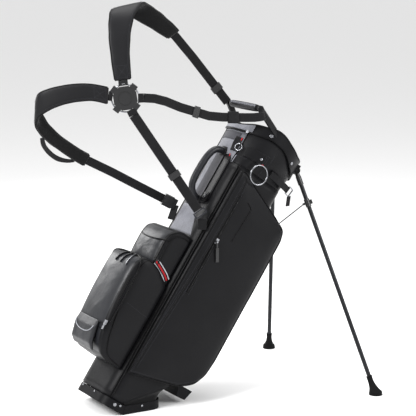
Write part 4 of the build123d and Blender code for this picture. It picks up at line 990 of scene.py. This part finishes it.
# Hub: webbing loops hold the ring, and the plate turns over it.
hub = at(-435, 0, 764)
hub_normal = Vector((-math.sin(math.radians(30)), -math.cos(math.radians(30)), 0))
parts, uv = [], []
for m, y, s, width in (
    (-463, 12, 804, 26), (-472, 24, 747, 26), (-397, -23, 790, 25), (-394, -15.4, 735.1, 27),
):
    direction = at(m, y, s) - hub
    reach = direction.length
    direction = (direction - hub_normal * direction.dot(hub_normal)).normalized()
    across = hub_normal.cross(direction).normalized()
    tip = at(m, y, s)
    for layer in (-1, 1):
        rings = []
        for k in range(9):
            t = k / 8
            base = hub + direction * 0.0352 + (tip - hub - direction * 0.0352) * t
            bulge = 0.0034 * (1 - t) ** 0.5 + 0.0012
            if k == 0:
                bulge = 0.0012
            ring = []
            for a in turns(10):
                half = width / 2000 * math.copysign(abs(math.cos(a)) ** 0.4, math.cos(a))
                ring.append(base + across * half + hub_normal * (layer * bulge + 0.0009 * math.sin(a)))
                uv.append((t * reach, width / 2000 * math.cos(a)))
            rings.append(ring)
        parts.append(skin(rings))
loops = piece("hub_loops", *joined(parts), webbing, uv=uv)

# ------------------------------------------------------------------ small sewn parts
# Leather tabs, strap anchors, belt and keeper, cut from flat stock and sewn down. Red bar
# tacks, a bright snap and framed seams finish the collar.
for name, source_name, voxel, finish, slot_name in (
    ("ring_tabs_leather", "ring_tabs", 0.0012, leatherette, "leatherette"),
    ("strap_anchor_webbing", "strap_anchors", 0.0009, webbing, "webbing"),
    ("belt_strap_leather", "belt_strap", 0.0012, leatherette, "leatherette"),
    ("strap_keeper_leather", "strap_keeper", 0.0011, leatherette, "leatherette"),
):
    softened(name, source_name, voxel, 2, finish)


# Red thread of the bar tacks.
red_thread, tree, shader = surface("thread_red", "#b01e26", 0.6)
grain(tree, shader, "#971720", "#c4262e", 0.6, 2500.0, 0.0002)
def bar_tack(name, centre, along, outward, length=0.009, width=0.0026):
    """Dense block of red thread."""
    across = along.cross(outward).normalized()
    rings = []
    for t, r in ((-1, 0.3), (-0.9, 0.85), (-0.5, 1), (0, 1), (0.5, 1), (0.9, 0.85), (1, 0.3)):
        ring = []
        for a in turns(12):
            sideways = across * (math.cos(a) * width / 2 * r)
            ring.append(centre + along * (t * length / 2) + sideways + outward * (math.sin(a) * 0.0009 * r))
        rings.append(ring)
    made = piece(name, *skin(rings), red_thread)


def on_collar(theta, s, lift):
    """Point on the collar at an angle in degrees, a height and a lift."""
    a = math.radians(theta)
    m, y = collar_point(a, s, lift)
    return at(m, y, s)


def turned_rings(centre, axis, across, up, sides, profile):
    """Rings of a turned part from heights along its axis and radii."""
    rings = []
    for h, r in profile:
        rings.append([centre + axis * h + (across * math.cos(a) + up * math.sin(a)) * r for a in turns(sides)])
    return rings


# Bright snap and stitched rounded frames on the near side of the collar.
snap_normal = way(math.cos(math.radians(-113)), math.sin(math.radians(-113)), 0.05)
snap_across = snap_normal.cross(S_DIR).normalized()
snap_up = snap_across.cross(snap_normal)
foot = on_collar(-113, 822, 0.0)
SNAP = ((-0.0006, 0.0052), (0.001, 0.0052), (0.0022, 0.0044), (0.0028, 0.0028), (0.003, 0.0008))
rings = turned_rings(foot, snap_normal, snap_across, snap_up, 24, SNAP)
collar_snap = piece("collar_snap", *skin(rings), bright)
routes = []
for t0, t1, s0, s1 in ((-124, -104, 806, 838), (-146, -130, 800, 836), (-121, -107, 811, 833)):
    corner = [(t0, s0), (t1, s0), (t1, s1), (t0, s1), (t0, s0)]
    path = []
    for (ta, sa), (tb, sb) in zip(corner, corner[1:]):
        path += [on_collar(ta + (tb - ta) * k / 12, sa + (sb - sa) * k / 12, 0.2) for k in range(12)]
    routes.append(path + path[:1])
for t in (-150, -98):
    routes.append([on_collar(t, 782 + 68 * k / 20, 0.2) for k in range(21)])
stitched("collar_stitches", routes, 0.0042, THREAD, thread)
for t in (-149, 149):
    path = [on_collar(t, 777 + 100 * k / 24, 0.5) for k in range(25)]
    piped(f"collar_piping_{'near' if t < 0 else 'far'}", path, 0.0018)
# Ribbed grey tab across the collar front, under the cuff.
rows, tab_uv = [], []
for k in range(9):
    s = 838 + 26 * k / 8
    rows.append([on_collar(158 + 44 * j / 24, s, 2.0 if 0 < k < 8 else 0.6) for j in range(25)])
    tab_uv += [(j * 0.004, k * 0.003) for j in range(25)]
tab = piece("collar_ribbed_tab", *skin(rows, closed=False), mesh_cloth, uv=tab_uv)
thickened(tab, 0.0012)

bar_tack("tack_towel_ring", at(-13, -121.4, 806), way(1, 0, 0.2), -Y_DIR)
bar_tack("tack_d_ring", at(-79, -60.5, 846), way(0, 0, 1), way(-0.866, -0.5, 0))
bar_tack("tack_front_tab", at(-76.6, -40, 793), way(0, 0.4, 1), -M_DIR)

# ------------------------------------------------------------------ base gusset
# Soft nylon bellows sewn between the tube's rising edge and the folding flap, with one
# inward fold halfway up.
# Soft nylon of the base gusset.
gusset_cloth = woven("gusset_nylon_black", "#030304", "#0b0b0c", 0.62, 500.0, 0.0002)

top_line, low_line = [], []
rear = [math.radians(-112 + 224 * i / 96) for i in range(97)]
for angle in rear:
    m, y = tube_point(angle, -0.4)
    top_line.append(at(m, y, 27.5 + base_rise(m) + 1.5))
for angle, p in zip(rear, top_line):
    y = max(-92.0, min(92.0, p.y * 1000))
    reach = min(1.0, max(0.0, ((p - at(-18, 0, 27)).dot(M_DIR) * 1000) / 130))
    x = -64.5 + 6 + 116 * reach
    corner = max(0.0, abs(y) - 56) / 37
    x = min(x, -64.5 + 124 - 34 * (1 - math.sqrt(max(0.0, 1 - min(1.0, corner) ** 2))))
    low_line.append(Vector((x / 1000, y / 1000, 0.0215)))
rows = []
for k in range(13):
    t = k / 12
    row = []
    for a, b in zip(top_line, low_line):
        p = a.lerp(b, t)
        depth = (a - b).length
        centre = Vector((0.0, 0.0, p.z))
        inward = centre - p
        inward = inward.normalized() if inward.length > 1e-4 else Vector((0, 0, 0))
        fold = math.sin(math.pi * t) * min(0.010, depth * 0.14)
        row.append(p + inward * fold)
    rows.append(row)
gusset = piece("base_gusset_cloth", *skin(rows, closed=False), gusset_cloth, body=None,
               stands_for=["base_gusset"])
thickened(gusset, 0.0009)
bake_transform(gusset)

# Bright rivets round the boot and flap skirts.
RIVET = ((-0.0006, 0.0034), (0.0004, 0.0034), (0.0011, 0.0029), (0.0015, 0.0016), (0.0016, 0.0004))
rivet_spots = [
    (at(-73.4, 54, 20), -M_DIR, "bag"), (at(-73.4, -20, 20), -M_DIR, "bag"),
    (at(-22, -97.4, 19), -Y_DIR, "bag"), (at(-22, 97.4, 19), Y_DIR, "bag"),
    (Vector((-0.004, -0.0974, 0.018)), -Y_DIR, "base_flap"),
    (Vector((-0.004, 0.0974, 0.018)), Y_DIR, "base_flap"),
]
for body_name in ("bag", "base_flap"):
    parts = []
    for centre, outward, body in rivet_spots:
        if body == body_name:
            across = outward.orthogonal().normalized()
            parts.append(skin(turned_rings(centre, outward, across, outward.cross(across), 20, RIVET)))
    verts, faces = joined(parts)
    rivets = piece(f"skirt_rivets_{body_name}", verts, faces, bright, body=body_name)

# ------------------------------------------------------------------ hard parts
# Cuff, base, legs, linkage, hub, buckles and rings: injection mouldings, anodised tube,
# bent wire and plated castings, pinned or riveted together.
# Fine matte moulding of cuff, boots and heel.
moulded, tree, shader = surface("moulded_black_matte", "#1a1b1d", 0.5)
grain(tree, shader, "#08080a", "#101012", 0.42, 1600.0, 0.00015)
# Rubber of the feet.
rubber, tree, shader = surface("rubber_black", "#0f1011", 0.68)
grain(tree, shader, "#060607", "#0e0e0f", 0.66, 700.0, 0.0003)
# Black anodised leg tubes.
anodised, tree, shader = surface("aluminium_black_anodised", "#222326", 0.33, 0.75)
grain(tree, shader, "#1a1b1d", "#27282b", 0.36, 1800.0, 0.00005)
# Blackened steel wire of the rods.
wire_steel, tree, shader = surface("steel_wire_blackened", "#242527", 0.4, 0.8)
grain(tree, shader, "#131315", "#1e1e20", 0.4, 1500.0, 0.00005)
# Board of the inner tube.
board, tree, shader = surface("tube_board", "#1b1c1e", 0.7)
grain(tree, shader, "#09090a", "#121214", 0.7, 300.0, 0.0004)
# Gunmetal of the lower strap loop.
gunmetal, tree, shader = surface("loop_gunmetal", "#37383b", 0.22, 1.0)
grain(tree, shader, "#2d2e31", "#434448", 0.24, 1200.0, 0.00003)

# Moulded, drawn and plated parts keep the shape they have in the CAD.
for node_name, finish in {
    "body_shell": board, "top_cuff": moulded, "top_divider": moulded, "handle_bail": moulded,
    "snap_studs": bright, "zip_tracks": piping_leather, "front_boot": moulded, "base_flap": moulded,
    "hinge_pin": wire_steel, "rear_heel": moulded, "leg_brackets": moulded, "leg_pins": wire_steel,
    "rod_channels": moulded, "frame_stays": wire_steel, "hub_ring": bright, "hub_plate": satin,
    "buckle_socket": satin, "buckle_plug": satin, "lower_loop": gunmetal, "leg_tube_near": anodised,
    "leg_tube_far": anodised, "leg_fittings_near": satin, "leg_fittings_far": satin,
    "leg_foot_near": rubber, "leg_foot_far": rubber, "link_rod_near": wire_steel,
    "link_rod_far": wire_steel, "pull_rod": wire_steel, "towel_ring": bright, "d_ring": bright,
    "zip_slider": bright, "zip_pull": satin, "ball_zip_slider": bright, "belt_buckle": bright,
    "slider_upper": satin, "slider_lower": satin, "slider_right": satin,
}.items():
    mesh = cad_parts[node_name].data
    mesh.materials.clear()
    mesh.materials.append(finish)
# The belt buckle's hanging tag is leather; only its frame is metal.
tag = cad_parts["belt_buckle"].data
tag.materials.append(leatherette)
frame_low = max(v.co.z for v in tag.vertices) - 0.029
for f in tag.polygons:
    if f.center.z < frame_low:
        f.material_index = 1

# ------------------------------------------------------------------ studio
# Pale floor and world with four soft lamps, and the camera.
floor_mesh = bpy.data.meshes.new("studio_floor")
floor_mesh.from_pydata([(-60, -60, 0), (60, -60, 0), (60, 60, 0), (-60, 60, 0)], [], [(0, 1, 2, 3)])
floor = bpy.data.objects.new("studio_floor", floor_mesh)
bpy.context.scene.collection.objects.link(floor)
pale, tree, shader = surface("studio_pale", "#f4f4f4", 0.8)
floor_mesh.materials.append(pale)
world = bpy.data.worlds.new("studio_world")
world.use_nodes = True
world.node_tree.nodes["Background"].inputs[0].default_value = (1, 1, 1, 1)
world.node_tree.nodes["Background"].inputs[1].default_value = 0.85
bpy.context.scene.world = world
for name, spot, size, power in (
    ("key", (-2.8, -0.6, 2.6), 1.3, 130), ("side", (1.9, -2.6, 1.8), 1.2, 60),
    ("top", (0.2, 0.4, 3.2), 1.6, 60), ("back", (-0.5, 2.8, 1.6), 1.4, 40),
):
    lamp = bpy.data.lights.new(name, "AREA")
    lamp.size = size
    lamp.energy = power
    holder = bpy.data.objects.new(name, lamp)
    holder.location = spot
    holder.rotation_euler = (Vector((0.1, 0, 0.5)) - Vector(spot)).to_track_quat("-Z", "Y").to_euler()
    bpy.context.scene.collection.objects.link(holder)
lens = bpy.data.cameras.new("photo_view")
lens.lens = 136.6
lens.sensor_width = 36
camera = bpy.data.objects.new("photo_view", lens)
target = Vector((0.2665, 0, 0.543))
away = Vector((-0.4916, -0.8515, 0.1822)).normalized()
camera.location = target + away * 4.56
camera.rotation_euler = away.to_track_quat("Z", "Y").to_euler()
bpy.context.scene.collection.objects.link(camera)
bpy.context.scene.camera = camera
bpy.context.scene.view_settings.view_transform = "Standard"
